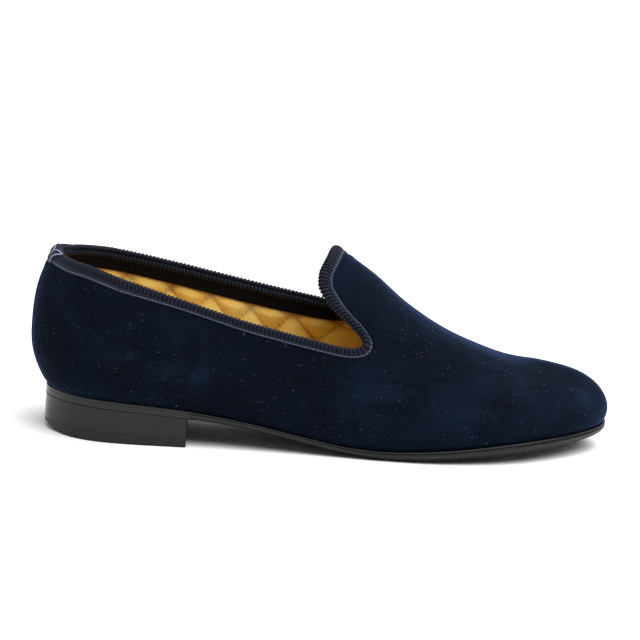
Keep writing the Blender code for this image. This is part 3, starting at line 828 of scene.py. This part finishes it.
def leather_material(name, colour, worn, roughness, scuffs, bump_size, coat=0.0, shine=0.36):
    """Leather or rubber with grain, scuffs that lighten and dull it, and a wax coat."""
    material, n, shader = new_material(name, colour[:], roughness)
    height, wear = n.add("ShaderNodeGroup", {0: n.place(), 2: scuffs}, node_tree=grain_group()).outputs
    n.fill(shader, {
        "Base Color": n.mix(n.math("MULTIPLY", wear, 0.6), tuple(colour), worn),
        "Roughness": n.span(wear, 0.0, 1.0, roughness, roughness + 0.2),
        "Normal": n.bump(0.25, bump_size, height),
        "Specular IOR Level": shine,
        "Coat Weight": coat,
        "Coat Roughness": 0.22,
    })
    return material


def ink_and_shade_material():
    """Matt black: edge ink and painted shade, in the grooves and on the worn rims."""
    black = (0.002, 0.002, 0.002)
    return leather_material("black edge ink and painted shade", black, (0.006, 0.006, 0.006), 0.6, 55.0, 0.0001, shine=0.2)


# Shapes of the pieces
RIBBON_WIDER = 0.42
VELVET_THICKNESS = 0.9
LINING_THICKNESS = 0.8
SOCK_THICKNESS = 2.0
SOCK_DIAMOND = (26.0, 23.0)
JOINT_DEPTH = 0.4
# Quilt value that paints black shade, at the joints of lining, sock and sole.
PAINTED_SHADE = -1.0


def ribbon_width(place):
    """Width of the ribbon's outer leg against its width at the side: it grows at heel and tongue."""
    tongue = ramp(place[..., 2], 66.0, 80.0) * ramp(place[..., 0], -40.0, -20.0)
    return 1.0 + RIBBON_WIDER * (ramp(-place[..., 0], 75.0, 112.0) + tongue)


def above_seat(surface):
    """Height of points on the wall above the sole's upper edge beside them."""
    return surface[..., 2] - smooth(surface[..., 0], SOLE, 1) - GAP


def velvet_relief(surface, down):
    """Height of the velvet over the last, in millimetres, at distances down from the edge.

    It swells below the ribbon that presses on it, sinks into the sewn back seam, is drawn in at the sole,
    and follows the listed dents, each a bell over the distance to its middle.
    """
    down = down / ribbon_width(surface)
    relief = 0.4 * hump(down, 6.4, 1.7) - 0.15 * (1 - ramp(down, 3.0, 5.2))
    dents = np.array(DENTS)
    apart = ((surface[..., None, :] - dents[:, :3]) ** 2).sum(-1)
    relief += (dents[:, 4] * np.exp(-apart / dents[:, 3] ** 2)).sum(-1)
    side = np.abs(surface[..., 1])
    at_back = ramp(-surface[..., 0], 118.0, 130.0)
    relief += at_back * (0.28 * hump(side, 2.2, 1.1) - 0.55 * hump(side, 0.0, 0.8))
    return relief - 0.5 * (1 - ramp(above_seat(surface), 0.0, 2.2))


def make_velvet(settings):
    """Velvet cover: the last's surface from opening to sole, raised by the relief."""
    columns, rows = 400, 100
    close = 0.6 + np.arange(16)
    grid = wall_grid(columns, rows, close, 60)[0]
    surface = last(grid)
    relief = velvet_relief(surface, travelled(surface) + close[0])
    points = surface + normals(grid) * relief[..., None]
    points[:, -1, 2] -= JOINT_DEPTH
    item = add_piece("velvet_cover", points, quad_faces(columns, rows + 1), ["upper"])
    item.data.materials.append(velvet_material(settings))
    add_wall(item, VELVET_THICKNESS)


def quilt(u, v):
    """Diamond quilting: the product of two crossed, wandering sine waves, zero along the sewn lines."""
    u = u + 0.035 * np.sin(2.3 * v + 1.1 * u)
    v = v + 0.04 * np.sin(3.1 * u + 0.7)
    return np.abs(np.sin(np.pi * (u + v)) * np.sin(np.pi * (u - v))) ** 0.6


def make_lining(settings):
    """Quilted lining: the wall's inner face, puffed inwards between its diagonal sewn lines."""
    columns, rows = 320, 96
    close = 2.0 + np.arange(24)
    grid, place, length = wall_grid(columns, rows, close, 40)
    surface = last(grid)
    down = travelled(surface) + close[0]
    diamond = settings.diamond / MM
    around = (place * round(length / diamond) / length)[:, None]
    puff = quilt(around, down / (diamond * 1.15)) * ramp(down, 11.0, 15.5)
    puff *= 0.35 + 0.65 * ramp(above_seat(surface), 2.0, 9.0)
    points = surface - normals(grid) * (WALL + settings.puff / MM * puff)[..., None]
    faces = quad_faces(columns, rows + 1, flip=True)
    item = add_piece("quilted_lining", points, faces, ["upper"])
    # Painted shade: the lowest three rows of the lining are black, a shadow line at the joint.
    puff[:, -3:] = PAINTED_SHADE
    paint_points(item, "quilt", puff)
    lay_uv(item, place[:, None], down, length)
    item.data.materials.append(satin_material(settings))
    add_wall(item, LINING_THICKNESS)


def make_sock(settings):
    """Quilted sock on its board: a plate inside the wall, its top puffed in plan diamonds."""
    edge, foot = outline_columns(-WALL - 2.2)
    top = np.concatenate([[1.0, 0.995, 0.985, 0.965], np.linspace(0.93, 0.0, 44)])
    below = np.zeros(6)
    share = np.concatenate([np.linspace(0.0, 1.0, len(below)), top])
    points = share_rows(edge, foot, share, sole_top)
    rise = np.concatenate([below, SOCK_THICKNESS * np.array([0.7, 0.9]), np.full(46, SOCK_THICKNESS)])
    fade = np.concatenate([below, ramp(1.0 - top, 0.0, 0.06)])
    puff = quilt(points[..., 0] / SOCK_DIAMOND[0], points[..., 1] / SOCK_DIAMOND[1])
    points[..., 2] += GAP + rise + settings.puff / MM * 0.8 * puff * fade
    faces = quad_faces(len(edge), len(share), flip=True)
    item = add_piece("quilted_sock", points, faces, ["insole"], 1e-6)
    kept = np.zeros(len(item.data.vertices) * 3)
    item.data.vertices.foreach_get("co", kept)
    kept = kept.reshape(-1, 3) / MM
    above = kept[:, 2] - sole_top(kept[:, 0], kept[:, 1])
    puff = quilt(kept[:, 0] / SOCK_DIAMOND[0], kept[:, 1] / SOCK_DIAMOND[1])
    # Painted shade: the sock's sides and rim, low by the sole, are black.
    paint_points(item, "quilt", np.where(above < 1.9, PAINTED_SHADE, puff))
    plan_uv(item, kept)
    item.data.materials.append(satin_material(settings, "gold satin of the sock"))


# Section of the folded ribbon: distance down from the edge, distance out from the last, share of the
# rib's height, share of the selvedge's colour
RIBBON = np.array([
    (4.30, 0.05, 0.0, 1.0),
    (4.42, 0.32, 0.0, 1.0),
    (4.10, 0.52, 0.1, 1.0),
    (3.55, 0.54, 0.2, 1.0),
    (3.10, 0.54, 0.4, 0.8),
    (2.75, 0.72, 0.85, 0.2),
    (2.30, 1.04, 1.0, 0.0),
    (1.65, 1.28, 1.0, 0.0),
    (1.00, 1.32, 1.0, 0.0),
    (0.40, 1.14, 1.0, 0.0),
    (-0.15, 0.74, 1.0, 0.0),
    (-0.52, 0.15, 1.0, 0.0),
    (-0.70, -0.55, 1.0, 0.0),
    (-0.76, -1.20, 1.0, 0.0),
    (-0.62, -1.80, 1.0, 0.0),
    (-0.26, -2.24, 0.9, 0.0),
    (0.30, -2.44, 0.4, 0.0),
    (0.80, -2.50, 0.1, 0.0),
    (1.15, -2.84, 0.7, 0.2),
    (1.60, -3.34, 1.0, 0.3),
    (2.30, -3.60, 1.0, 0.3),
    (3.10, -3.60, 1.0, 0.3),
    (3.80, -3.34, 1.0, 0.2),
    (4.25, -2.88, 0.5, 0.0),
    (4.70, -2.68, 0.1, 0.0),
    (5.50, -2.74, 0.1, 0.0),
    (7.00, -2.82, 0.12, 0.0),
    (8.80, -2.82, 0.12, 0.0),
    (10.30, -2.78, 0.12, 0.0),
    (11.20, -2.65, 0.1, 0.0),
    (11.50, -2.40, 0.0, 0.0),
    (11.40, -2.10, 0.0, 0.0),
    (6.00, -2.06, 0.0, 0.0),
    (1.20, -2.06, 0.0, 0.0),
    (0.35, -1.00, 0.0, 0.0),
    (1.20, 0.03, 0.0, 0.0),
])
STITCH_PITCH = 1.3
STITCH_DOWN = 3.85
STITCH_OUT = 0.56

# Pale piping on the folded end of the ribbon: paths of distance round the edge from the centre of the
# heel, distance down the wall and distance out of it
LAP_PIPING = [
    [
        (-15.0, 1.4, 1.7),
        (-10.0, 0.6, 1.6),
        (-4.0, -0.1, 1.5),
        (0.6, 0.1, 1.7),
        (2.2, 1.4, 2.0),
        (2.6, 3.0, 2.0),
    ],
    [(2.0, 0.9, 2.1), (4.4, -0.1, 1.7), (7.4, -0.5, 1.3), (10.4, -0.4, 1.2)],
    [(4.8, 6.2, 1.2), (4.4, 5.2, 1.6), (5.0, 3.6, 1.9), (7.4, 1.5, 2.0), (10.6, 0.1, 1.6)],
]


class Rail:
    """Places over the edge of the opening: a point is a distance down the wall and a distance out of it."""

    def __init__(self, count):
        self.lines, self.place, self.length = grid_lines(count, False)
        self.edge = last(self.lines[:, 0])
        ahead = last(pick(self.lines, np.full((count, 1), 0.6)))[:, 0] - self.edge
        self.inward = unit(ahead)
        self.widen = ribbon_width(self.edge)

    def points(self, down, out):
        """Points for every column, and the directions down the wall and out of it there."""
        down = down * np.where((out > 0) & (down > 0), self.widen[:, None], 1.0)
        flat = pick(self.lines, np.maximum(down, 0.0))
        normal = normals(flat)
        beyond = np.minimum(down, 0.0)[..., None] * self.inward[:, None]
        place = last(flat) + beyond + normal * np.broadcast_to(out, down.shape)[..., None]
        return place, np.broadcast_to(self.inward[:, None], normal.shape), normal

    def section(self):
        """The ribbon's section carried round the edge: its points, and its own outward directions there."""
        place, inward, out = self.points(RIBBON[None, :, 0], RIBBON[None, :, 1])
        across = loop_normals(RIBBON[:, :2])
        return place, across[None, :, :1] * inward + across[None, :, 1:] * out


def make_ribbon(settings):
    """Folded ribbon: its section carried along the edge of the opening, with a rib every pitch.

    A rib stands out of the section by its height times |sin| of the distance along the edge.
    """
    ribs = round(grid_lines(64, False)[2] / (settings.rib_pitch / MM))
    count = ribs * 8
    rail = Rail(count)
    place, outwards = rail.section()
    wave = np.abs(np.sin(np.pi * rail.place * ribs / rail.length))
    x, z = rail.edge[:, 0], rail.edge[:, 2]
    flatter = 1.0 - 0.82 * ramp(-x, 95.0, 125.0)
    front = np.clip(ramp(x, -14.0, 4.0) + ramp(z, 72.0, 84.0) * ramp(x, -40.0, -20.0), 0, 1)
    rows = len(RIBBON)
    low_leg = (np.arange(rows) > 1) & (np.arange(rows) < 6)
    weight = np.maximum(RIBBON[None, :, 2], 0.85 * front[:, None] * low_leg[None, :])
    lift = settings.rib_height / MM * ((wave - 0.62) * flatter)[:, None] * weight
    points = place + lift[..., None] * outwards
    faces = quad_faces(count, rows, tube=True)
    item = add_piece("collar_ribbon", points, faces, ["collar_binding"])
    calm = 0.55 + (wave - 0.55) * flatter
    # Painted shade: the rows inside the collar take the darkest valley colour; the plain outer rows sit
    # midway.
    plain = np.where(RIBBON[:, 1] < -1.9, 0.0, 0.5)[None, :]
    paint_points(item, "rib", plain * (1 - weight) + calm[:, None] * weight)
    paint_points(item, "selvedge", np.tile(RIBBON[:, 3], count))
    lay_uv(item, rail.place[:, None], travelled(RIBBON[:, :2]), rail.length)
    item.data.materials.append(ribbon_material(settings))


def capsules(starts, ends, out, radius, arch, along=7, around=8):
    """Thread stitches: each an arched capsule, whose radius is times the root of 1 - (2t - 1)^4 along it."""
    t = np.linspace(0, 1, along)
    turn = np.linspace(0, 2 * np.pi, around, endpoint=False)
    axis = ends - starts
    side = unit(np.cross(axis, out))
    middle = starts[:, None] + axis[:, None] * t[None, :, None]
    middle = middle + out[:, None] * (arch * np.sin(np.pi * t))[None, :, None]
    size = radius * np.sqrt(np.clip(1 - (2 * t - 1) ** 4, 0, 1))
    ring = side[:, None, None] * np.cos(turn)[None, None, :, None]
    ring = ring + out[:, None, None] * np.sin(turn)[None, None, :, None]
    points = middle[:, :, None] + ring * size[None, :, None, None]
    one = quad_faces(along, around, ring=False, tube=True)
    base = np.arange(len(starts))[:, None, None] * along * around
    return points.reshape(-1, 3), (one[None] + base).reshape(-1, 4)


def make_stitching(settings):
    """A row of fine stitches on the outer selvedge of the ribbon."""
    rail = Rail(round(grid_lines(64, False)[2] / STITCH_PITCH) * 3)
    place, _, normal = rail.points(np.array([[STITCH_DOWN]]), np.array([[STITCH_OUT]]))
    points, faces = capsules(place[0::3, 0], place[2::3, 0], normal[1::3, 0], 0.15, 0.14)
    item = add_piece("ribbon_stitches", points, faces, [], 1e-7)
    item.data.materials.append(thread_material("grey-blue thread", settings.thread))


def make_back_tab(settings):
    """Lapped end of the ribbon over the heel: its section again, a fold higher, let down at both sides."""
    rail = Rail(1680)
    half = 20
    columns = 2 * half + 1
    index = np.arange(-half, half + 1)
    place, outwards = rail.section()
    t = np.abs(np.linspace(-1, 1, columns))[:, None]
    lift = 0.55 * (1 - ramp(t, 0.82, 1.0)) - 0.05
    outer = slice(1, 28)
    points = (place[index] + lift[..., None] * outwards[index])[:, outer]
    rows = points.shape[1]
    item = add_piece("ribbon_lap", points, quad_faces(columns, rows, ring=False), [])
    paint_points(item, "rib", np.full(points.shape[:2], 0.6))
    paint_points(item, "selvedge", np.repeat(ramp(t, 0.55, 0.9), rows, axis=1))
    lay_uv(item, rail.place[:columns, None], travelled(RIBBON[outer, :2]), rail.length)
    item.data.materials.append(ribbon_material(settings))
    add_wall(item, 0.35)
    make_piping(rail, settings)


def make_piping(rail, settings):
    """Pale piping on the folded end of the ribbon; its paths are given round and down the edge."""
    points = []
    faces = []
    for path in LAP_PIPING:
        around, down, out = between_rows(path, 8).T
        column = np.round(around / rail.length * len(rail.edge)).astype(int) % len(rail.edge)
        place = rail.points(down[None, :] / rail.widen[column][None, :], out[None, :])[0]
        more, between = cord(place[column, np.arange(len(down))], 0.28, 8)
        faces.append(between + sum(len(part) for part in points))
        points.append(more)
    item = add_piece("lap_piping", np.vstack(points), np.vstack(faces), [], 1e-7)
    item.data.materials.append(thread_material("pale piping", settings.piping))


def cord(path, radius, around):
    """Round cord along a path, its ends drawn to points, which are merged when it is added."""
    ahead = unit(np.gradient(path, axis=0))
    side = unit(np.cross(ahead, [0.0, 0.0, 1.0]) + 1e-6)
    up = np.cross(side, ahead)
    turn = np.linspace(0, 2 * np.pi, around, endpoint=False)[None, :, None]
    size = np.full(len(path), radius)
    size[[0, -1]] = 0.0
    ring = np.cos(turn) * side[:, None] + np.sin(turn) * up[:, None]
    points = path[:, None] + size[:, None, None] * ring
    return points.reshape(-1, 3), quad_faces(len(path), around, ring=False, tube=True)


def share_rows(edge, foot, shares, heights):
    """Points of a plate's face: rings at shares of the way from the spine to its outline."""
    plan = foot[:, None] + (edge - foot)[:, None] * np.asarray(shares)[None, :, None]
    return np.concatenate([plan, heights(plan[..., 0], plan[..., 1])[..., None]], -1)


# Profile of the outsole's edge: distance out of the outline, share of the thickness down from its top
SOLE_RIM = np.array([
    (-0.70, 0.0),
    (-0.10, 0.01),
    (0.14, 0.05),
    (0.12, 0.12),
    (-0.40, 0.155),
    (-0.52, 0.20),
    (-0.40, 0.245),
    (-0.02, 0.29),
    (0.06, 0.38),
    (0.06, 0.56),
    (-0.02, 0.66),
    (-0.40, 0.76),
    (-0.95, 0.87),
    (-1.50, 0.97),
])
TOP_SHARES = [0.0, 0.4, 0.8, 0.95]
GROOVE_ROWS = (7, 10)
BEVEL_ROW = 14


def make_outsole(settings):
    """Outsole: a plate between its crowned faces, with a beaded rim, a groove and a bevel round its edge.

    Over the heel the rim lies flat on the outline, so that sole and heel look like one block.
    """
    way = unit(SOLE_EDGE - SOLE_FOOT)
    out, down = SOLE_RIM.T
    x = SOLE_EDGE[:, 0]
    before_heel = ramp(x, BREAST_X - 1.0, BREAST_X + 7.0)[:, None]
    plan = SOLE_EDGE[:, None] + way[:, None] * (out * (0.1 + 0.9 * before_heel))[..., None]
    share = down + 0.032 * (1 - before_heel) * (down / down[-1]) ** 8
    height = smooth(x, SOLE, 1)[:, None] - smooth(x, SOLE, 2)[:, None] * share
    rim = np.concatenate([plan, height[..., None]], -1)
    top = share_rows(SOLE_EDGE, SOLE_FOOT, TOP_SHARES, sole_top)
    under = share_rows(SOLE_EDGE, SOLE_FOOT, np.linspace(0.93, 0.0, 22), sole_underside)
    points = np.concatenate([top, rim, under], axis=1)
    rows = points.shape[1]
    item = add_piece("leather_outsole", points, quad_faces(len(points), rows), ["outsole"])
    worn = (0.02, 0.02, 0.02)
    wax = leather_material("waxed sole edge", settings.edge_colour, worn, 0.24, 55.0, 0.00015, shine=0.3)
    worn = (0.06, 0.052, 0.045)
    tread = leather_material("sole leather", settings.tread_colour, worn, 0.5, 30.0, 0.0002, coat=0.05)
    for material in (wax, tread, ink_and_shade_material()):
        item.data.materials.append(material)
    first_under = len(TOP_SHARES) + len(SOLE_RIM) - 1
    row = np.tile(np.arange(rows - 1), len(points))
    groove = (row >= GROOVE_ROWS[0]) & (row <= GROOVE_ROWS[1])
    bevel = (row >= BEVEL_ROW) & (row < first_under)
    # Edge ink and painted shade: the groove and the bevel, ahead of the heel, take the black.
    inked_and_shaded = (groove | bevel) & (np.repeat(x, rows - 1) > BREAST_X)
    index = np.where(inked_and_shaded, 2, np.where(row >= first_under, 1, 0))
    item.data.polygons.foreach_set("material_index", index.astype(np.int32))
    close_seams(item.data, 1e-6)


def heel_outline(inset):
    """Closed plan outline of the heel: the sole's outline up to the breast, which is hollowed a little."""
    low, high = edges_at(np.array([BREAST_X]))
    before = SOLE_EDGE[:, 0] < BREAST_X - 0.8
    lateral = SOLE_EDGE[before & (SOLE_EDGE[:, 1] < 0)]
    medial = SOLE_EDGE[before & (SOLE_EDGE[:, 1] >= 0)]
    lateral = lateral[np.argsort(lateral[:, 0])]
    medial = medial[np.argsort(medial[:, 0])][::-1]
    back = [lateral, [[BREAST_X - 0.5, low[0] + 0.05], [BREAST_X - 0.1, low[0] + 0.6]]]
    y = np.linspace(low[0] + 1.4, high[0] - 1.4, 17)
    middle = (low[0] + high[0]) / 2
    bow = 1.6 * (1 - ((y - middle) / (high[0] - middle)) ** 2)
    breast = np.column_stack([BREAST_X - bow, y])
    corner = [[BREAST_X - 0.1, high[0] - 0.6], [BREAST_X - 0.5, high[0] - 0.05]]
    outline = np.vstack(back + [breast, corner, medial])
    return outline - loop_normals(outline) * inset


def stacked_wall(name, node, insets, heights, material):
    """A block closed by two flat caps: the heel's outline, inset at each height, joined by quads."""
    rows = len(heights)
    outlines = [heel_outline(inset) for inset in insets]
    points = np.stack([np.column_stack([outlines[j], heights[j]]) for j in range(rows)], axis=1)
    count = len(points)
    faces = [list(face) for face in quad_faces(count, rows, flip=True)]
    faces.append([k * rows for k in range(count)][::-1])
    faces.append([k * rows + rows - 1 for k in range(count)])
    item = add_piece(name, points, faces, [node])
    item.data.materials.append(material)
    modifier = item.modifiers.new("creases", "EDGE_SPLIT")
    modifier.split_angle = math.radians(35)
    return item


def make_heel(settings):
    """Heel block of stacked lifts with fine joints, and the top piece below it with a worn rim."""
    plain = heel_outline(0.0)
    low = TOP_PIECE + 0.03
    high = sole_underside(plain[:, 0], plain[:, 1]) - 0.03
    shares = [0.0, 0.02, 0.32, 0.34, 0.36, 0.65, 0.67, 0.69, 0.98, 1.0]
    insets = [0.01, 0.0, 0.0, 0.012, 0.0, 0.0, 0.012, 0.0, 0.0, 0.0]
    worn = (0.01, 0.01, 0.01)
    colour = settings.edge_colour
    wax = leather_material("black heel leather", colour, worn, 0.1, 45.0, 0.00006, coat=0.12, shine=0.21)
    stacked_wall("heel_block", "heel", insets, [low + (high - low) * share for share in shares], wax)
    back = np.clip((WORN_HEEL_X - plain[:, 0]) / (WORN_HEEL_X - FEATHER[0][0]), 0, 1)
    low = WORN_HEEL_RISE * back**2
    shares = [0.0, 0.03, 0.12, 0.94, 0.985, 1.0]
    insets = [0.6, 0.25, 0.06, 0.0, 0.0, 0.02]
    worn = (0.03, 0.03, 0.03)
    colour = settings.rubber_colour
    rubber = leather_material("top piece rubber", colour, worn, 0.36, 60.0, 0.0002, shine=0.3)
    heights = [low + (TOP_PIECE - low) * share for share in shares]
    item = stacked_wall("heel_top_piece", "top_piece", insets, heights, rubber)
    item.data.materials.append(ink_and_shade_material())
    row = np.append(np.tile(np.arange(len(shares) - 1), len(plain)), [0, len(shares)])
    # Painted shade: the two bottom rows of the top piece take the black, a dark contact line at the floor.
    item.data.polygons.foreach_set("material_index", np.where(row < 2, 1, 0).astype(np.int32))


# Stage
FLOOR_REACH = 20.0


def add_object(name, data):
    """New object in the scene's own collection."""
    item = bpy.data.objects.new(name, data)
    bpy.context.scene.collection.objects.link(item)
    return item


def make_floor(settings):
    """Plain pale floor, wide enough to fill the picture."""
    far = FLOOR_REACH
    mesh = bpy.data.meshes.new("floor")
    mesh.from_pydata([(-far, -far, 0), (far, -far, 0), (far, far, 0), (-far, far, 0)], [], [(0, 1, 2, 3)])
    material, n, shader = new_material("pale floor", settings.floor_colour[:], 0.8)
    n.fill(shader, {"Specular IOR Level": 0.1})
    mesh.materials.append(material)
    add_object("floor", mesh)


def make_lights(settings):
    """White surroundings, darker in front and at the horizon, and one very soft light from above."""
    world = bpy.data.worlds.new("white studio")
    bpy.context.scene.world = world
    world.use_nodes = True
    n = Nodes(world.node_tree)
    _, y, z = n.split(n.add("ShaderNodeTexCoord").outputs["Generated"])
    behind = n.span(y, -0.7, 0.4, settings.front, settings.surround)
    overhead = n.span(z, 0.0, 0.5, settings.horizon, 1.0)
    background = {0: (1.0, 1.0, 1.0, 1.0), 1: n.math("MULTIPLY", behind, overhead)}
    n.fill(world.node_tree.nodes["Background"], background)
    light = bpy.data.lights.new("overhead softbox", "SUN")
    light.angle = settings.softness
    light.energy = settings.key
    add_object("overhead softbox", light).rotation_euler = (settings.key_tilt_x, settings.key_tilt_y, 0.0)


def make_camera(settings):
    """Camera at the photograph's angle: back from its target by elevation and yaw, then rolled."""
    camera = bpy.data.cameras.new("camera")
    camera.lens = settings.lens
    camera.sensor_width = 36.0
    camera.clip_end = 100.0
    elevation, yaw, roll = settings.elevation, settings.yaw, settings.roll
    level = math.cos(elevation)
    back = np.array([-math.sin(yaw) * level, -math.cos(yaw) * level, math.sin(elevation)])
    right = np.cross(-back, [0.0, 0.0, 1.0])
    right /= np.linalg.norm(right)
    up = np.cross(right, -back)
    turned = right * math.cos(roll) + up * math.sin(roll)
    upright = -right * math.sin(roll) + up * math.cos(roll)
    place = np.array([settings.target_x, 0.0, settings.target_z]) + back * settings.distance
    holder = add_object("camera", camera)
    rows = np.column_stack([turned, upright, back, place]).tolist()
    holder.matrix_world = Matrix(rows + [[0.0, 0.0, 0.0, 1.0]])
    bpy.context.scene.camera = holder
    bpy.context.scene.view_settings.view_transform = "Standard"


# Settings, operators and panel
def colour_prop(name, description, default):
    return bpy.props.FloatVectorProperty(
        name=name, description=description, default=default, subtype="COLOR", size=3, min=0.0, max=1.0
    )


def number_prop(name, description, default, **kind):
    return bpy.props.FloatProperty(name=name, description=description, default=default, **kind)


def share_prop(name, description, default):
    return number_prop(name, description, default, min=0.0, subtype="FACTOR")


def length_prop(name, description, default):
    return number_prop(name, description, default, unit="LENGTH", precision=4)


def angle_prop(name, description, degrees):
    return number_prop(name, description, math.radians(degrees), subtype="ANGLE")


class VelvetSettings(bpy.types.PropertyGroup):
    """Colours of the velvet and how much sheen and lint it shows"""

    colour: colour_prop("Pile", "Colour of the velvet where the pile lies dark", srgb(7, 12, 20))
    brushed: colour_prop("Brushed pile", "Colour where the pile is brushed up", srgb(14, 23, 38))
    ribbing: colour_prop("Ribbing", "Colour of the faint ribs and worn patches", srgb(30, 42, 62))
    # Rim is the colour of a painted sheen at the contours, not a colour of the pile itself.
    rim: colour_prop("Rim", "Colour of the pile seen end on, at the contours", srgb(52, 70, 108))
    sheen_tint: colour_prop("Sheen", "Colour of the light caught at grazing angles", (0.10, 0.17, 0.42))
    sheen: share_prop("Sheen weight", "Strength of the sheen", 0.6)
    # The lint colour serves the specks of lint and a painted highlight at the outermost contours.
    lint_and_rim_highlight_colour: colour_prop("Lint colour", "Colour of the specks", srgb(120, 130, 148))
    lint: share_prop("Lint", "How strongly specks of lint show", 0.45)


class LiningSettings(bpy.types.PropertyGroup):
    """Colours and quilting of the lining and the sock"""

    colour: colour_prop("Satin", "Colour of the gold satin", srgb(253, 203, 84))
    bright: colour_prop("Bright satin", "Colour where the satin catches light", srgb(255, 232, 138))
    # Crease is the colour of the painted shade down in the sewn creases.
    crease_shade: colour_prop("Crease", "Colour down in the sewn creases", srgb(150, 92, 24))
    diamond: length_prop("Diamond", "Width of a quilted diamond", 0.022)
    puff: length_prop("Puff", "Height of the quilting", 0.0024)


class RibbonSettings(bpy.types.PropertyGroup):
    """Colours and ribs of the ribbon, its thread and its piping"""

    colour: colour_prop("Rib crown", "Colour on the crowns of the ribs", srgb(17, 20, 34))
    # Rib valley is the colour of the painted shade between the ribs.
    valley_shade: colour_prop("Rib valley", "Colour between the ribs", srgb(2, 2, 5))
    selvedge: colour_prop("Selvedge", "Colour of the worn outer edge", srgb(40, 45, 60))
    piping: colour_prop("Piping", "Colour of the pale piping on the folded end", srgb(150, 160, 192))
    thread: colour_prop("Thread", "Colour of the stitches", srgb(112, 122, 144))
    rib_pitch: length_prop("Rib pitch", "Distance between ribs", 0.002)
    rib_height: length_prop("Rib height", "Height of a rib", 0.0008)


class SoleSettings(bpy.types.PropertyGroup):
    """Colours of the sole and the heel"""

    edge_colour: colour_prop("Edge", "Colour of the waxed sole edge and the heel", srgb(16, 17, 18))
    tread_colour: colour_prop("Tread", "Colour of the leather underside", srgb(36, 34, 33))
    rubber_colour: colour_prop("Top piece", "Colour of the rubber top piece", srgb(15, 15, 16))


class StageSettings(bpy.types.PropertyGroup):
    """Camera, floor and light"""

    distance: length_prop("Distance", "Camera to shoe", 1.0)
    lens: number_prop("Lens", "Focal length on a 36 mm sensor", 111.39, unit="CAMERA")
    elevation: angle_prop("Elevation", "Camera above the horizon", 12.668)
    yaw: angle_prop("Yaw", "Camera round towards the heel", 9.053)
    roll: angle_prop("Roll", "Camera turned about its axis", 4.591)
    target_x: length_prop("Aim x", "Point aimed at, along", -0.005465)
    target_z: length_prop("Aim z", "Point aimed at, up", 0.059726)
    floor_colour: colour_prop("Floor", "Colour of the floor", (0.9, 0.9, 0.9))
    surround: share_prop("Surround", "Brightness behind the shoe", 1.0)
    front: share_prop("Front", "Brightness on the camera side", 0.2)
    horizon: share_prop("Horizon", "Brightness near the horizon against that above", 0.15)
    key: number_prop("Key", "Strength of the overhead light", 4.2, min=0.0)
    softness: angle_prop("Softness", "Width of the overhead light", 62)
    key_tilt_x: angle_prop("Key tilt x", "Turn of the overhead light about x", 17)
    key_tilt_y: angle_prop("Key tilt y", "Turn of the overhead light about y", 17)


class SLIPPER_OT_velvet(bpy.types.Operator):
    """Make the velvet cover"""

    bl_idname = "slipper.velvet"
    bl_label = "Velvet cover"

    def execute(self, context):
        make_velvet(context.scene.slipper_velvet)
        return {"FINISHED"}


class SLIPPER_OT_lining(bpy.types.Operator):
    """Make the quilted lining and sock"""

    bl_idname = "slipper.lining"
    bl_label = "Quilted lining and sock"

    def execute(self, context):
        make_lining(context.scene.slipper_lining)
        make_sock(context.scene.slipper_lining)
        return {"FINISHED"}


class SLIPPER_OT_ribbon(bpy.types.Operator):
    """Make the ribbed ribbon, its stitches and its lapped end"""

    bl_idname = "slipper.ribbon"
    bl_label = "Collar ribbon"

    def execute(self, context):
        make_ribbon(context.scene.slipper_ribbon)
        make_stitching(context.scene.slipper_ribbon)
        make_back_tab(context.scene.slipper_ribbon)
        return {"FINISHED"}


class SLIPPER_OT_sole(bpy.types.Operator):
    """Make the outsole, the heel block and the top piece"""

    bl_idname = "slipper.sole"
    bl_label = "Sole and heel"

    def execute(self, context):
        make_outsole(context.scene.slipper_sole)
        make_heel(context.scene.slipper_sole)
        return {"FINISHED"}


class SLIPPER_OT_stage(bpy.types.Operator):
    """Make the floor, the lights and the camera"""

    bl_idname = "slipper.stage"
    bl_label = "Stage"

    def execute(self, context):
        settings = context.scene.slipper_stage
        make_floor(settings)
        make_lights(settings)
        make_camera(settings)
        return {"FINISHED"}


class SLIPPER_PT_panel(bpy.types.Panel):
    """Sidebar panel that lists the pieces"""

    bl_label = "Velvet slipper"
    bl_idname = "SLIPPER_PT_panel"
    bl_space_type = "VIEW_3D"
    bl_region_type = "UI"
    bl_category = "Slipper"

    def draw(self, context):
        for operator in OPERATORS:
            self.layout.operator(operator.bl_idname)


SETTINGS = {
    "slipper_velvet": VelvetSettings,
    "slipper_lining": LiningSettings,
    "slipper_ribbon": RibbonSettings,
    "slipper_sole": SoleSettings,
    "slipper_stage": StageSettings,
}
OPERATORS = [SLIPPER_OT_velvet, SLIPPER_OT_lining, SLIPPER_OT_ribbon, SLIPPER_OT_sole, SLIPPER_OT_stage]


def register():
    for made in list(SETTINGS.values()) + OPERATORS + [SLIPPER_PT_panel]:
        bpy.utils.register_class(made)
    for name, made in SETTINGS.items():
        setattr(bpy.types.Scene, name, bpy.props.PointerProperty(type=made))


def unregister():
    for name in SETTINGS:
        delattr(bpy.types.Scene, name)
    for made in reversed(list(SETTINGS.values()) + OPERATORS + [SLIPPER_PT_panel]):
        bpy.utils.unregister_class(made)


def main():
    """Register the add-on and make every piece."""
    register()
    bpy.ops.slipper.velvet()
    bpy.ops.slipper.lining()
    bpy.ops.slipper.ribbon()
    bpy.ops.slipper.sole()
    bpy.ops.slipper.stage()


if __name__ == "__main__":
    main()
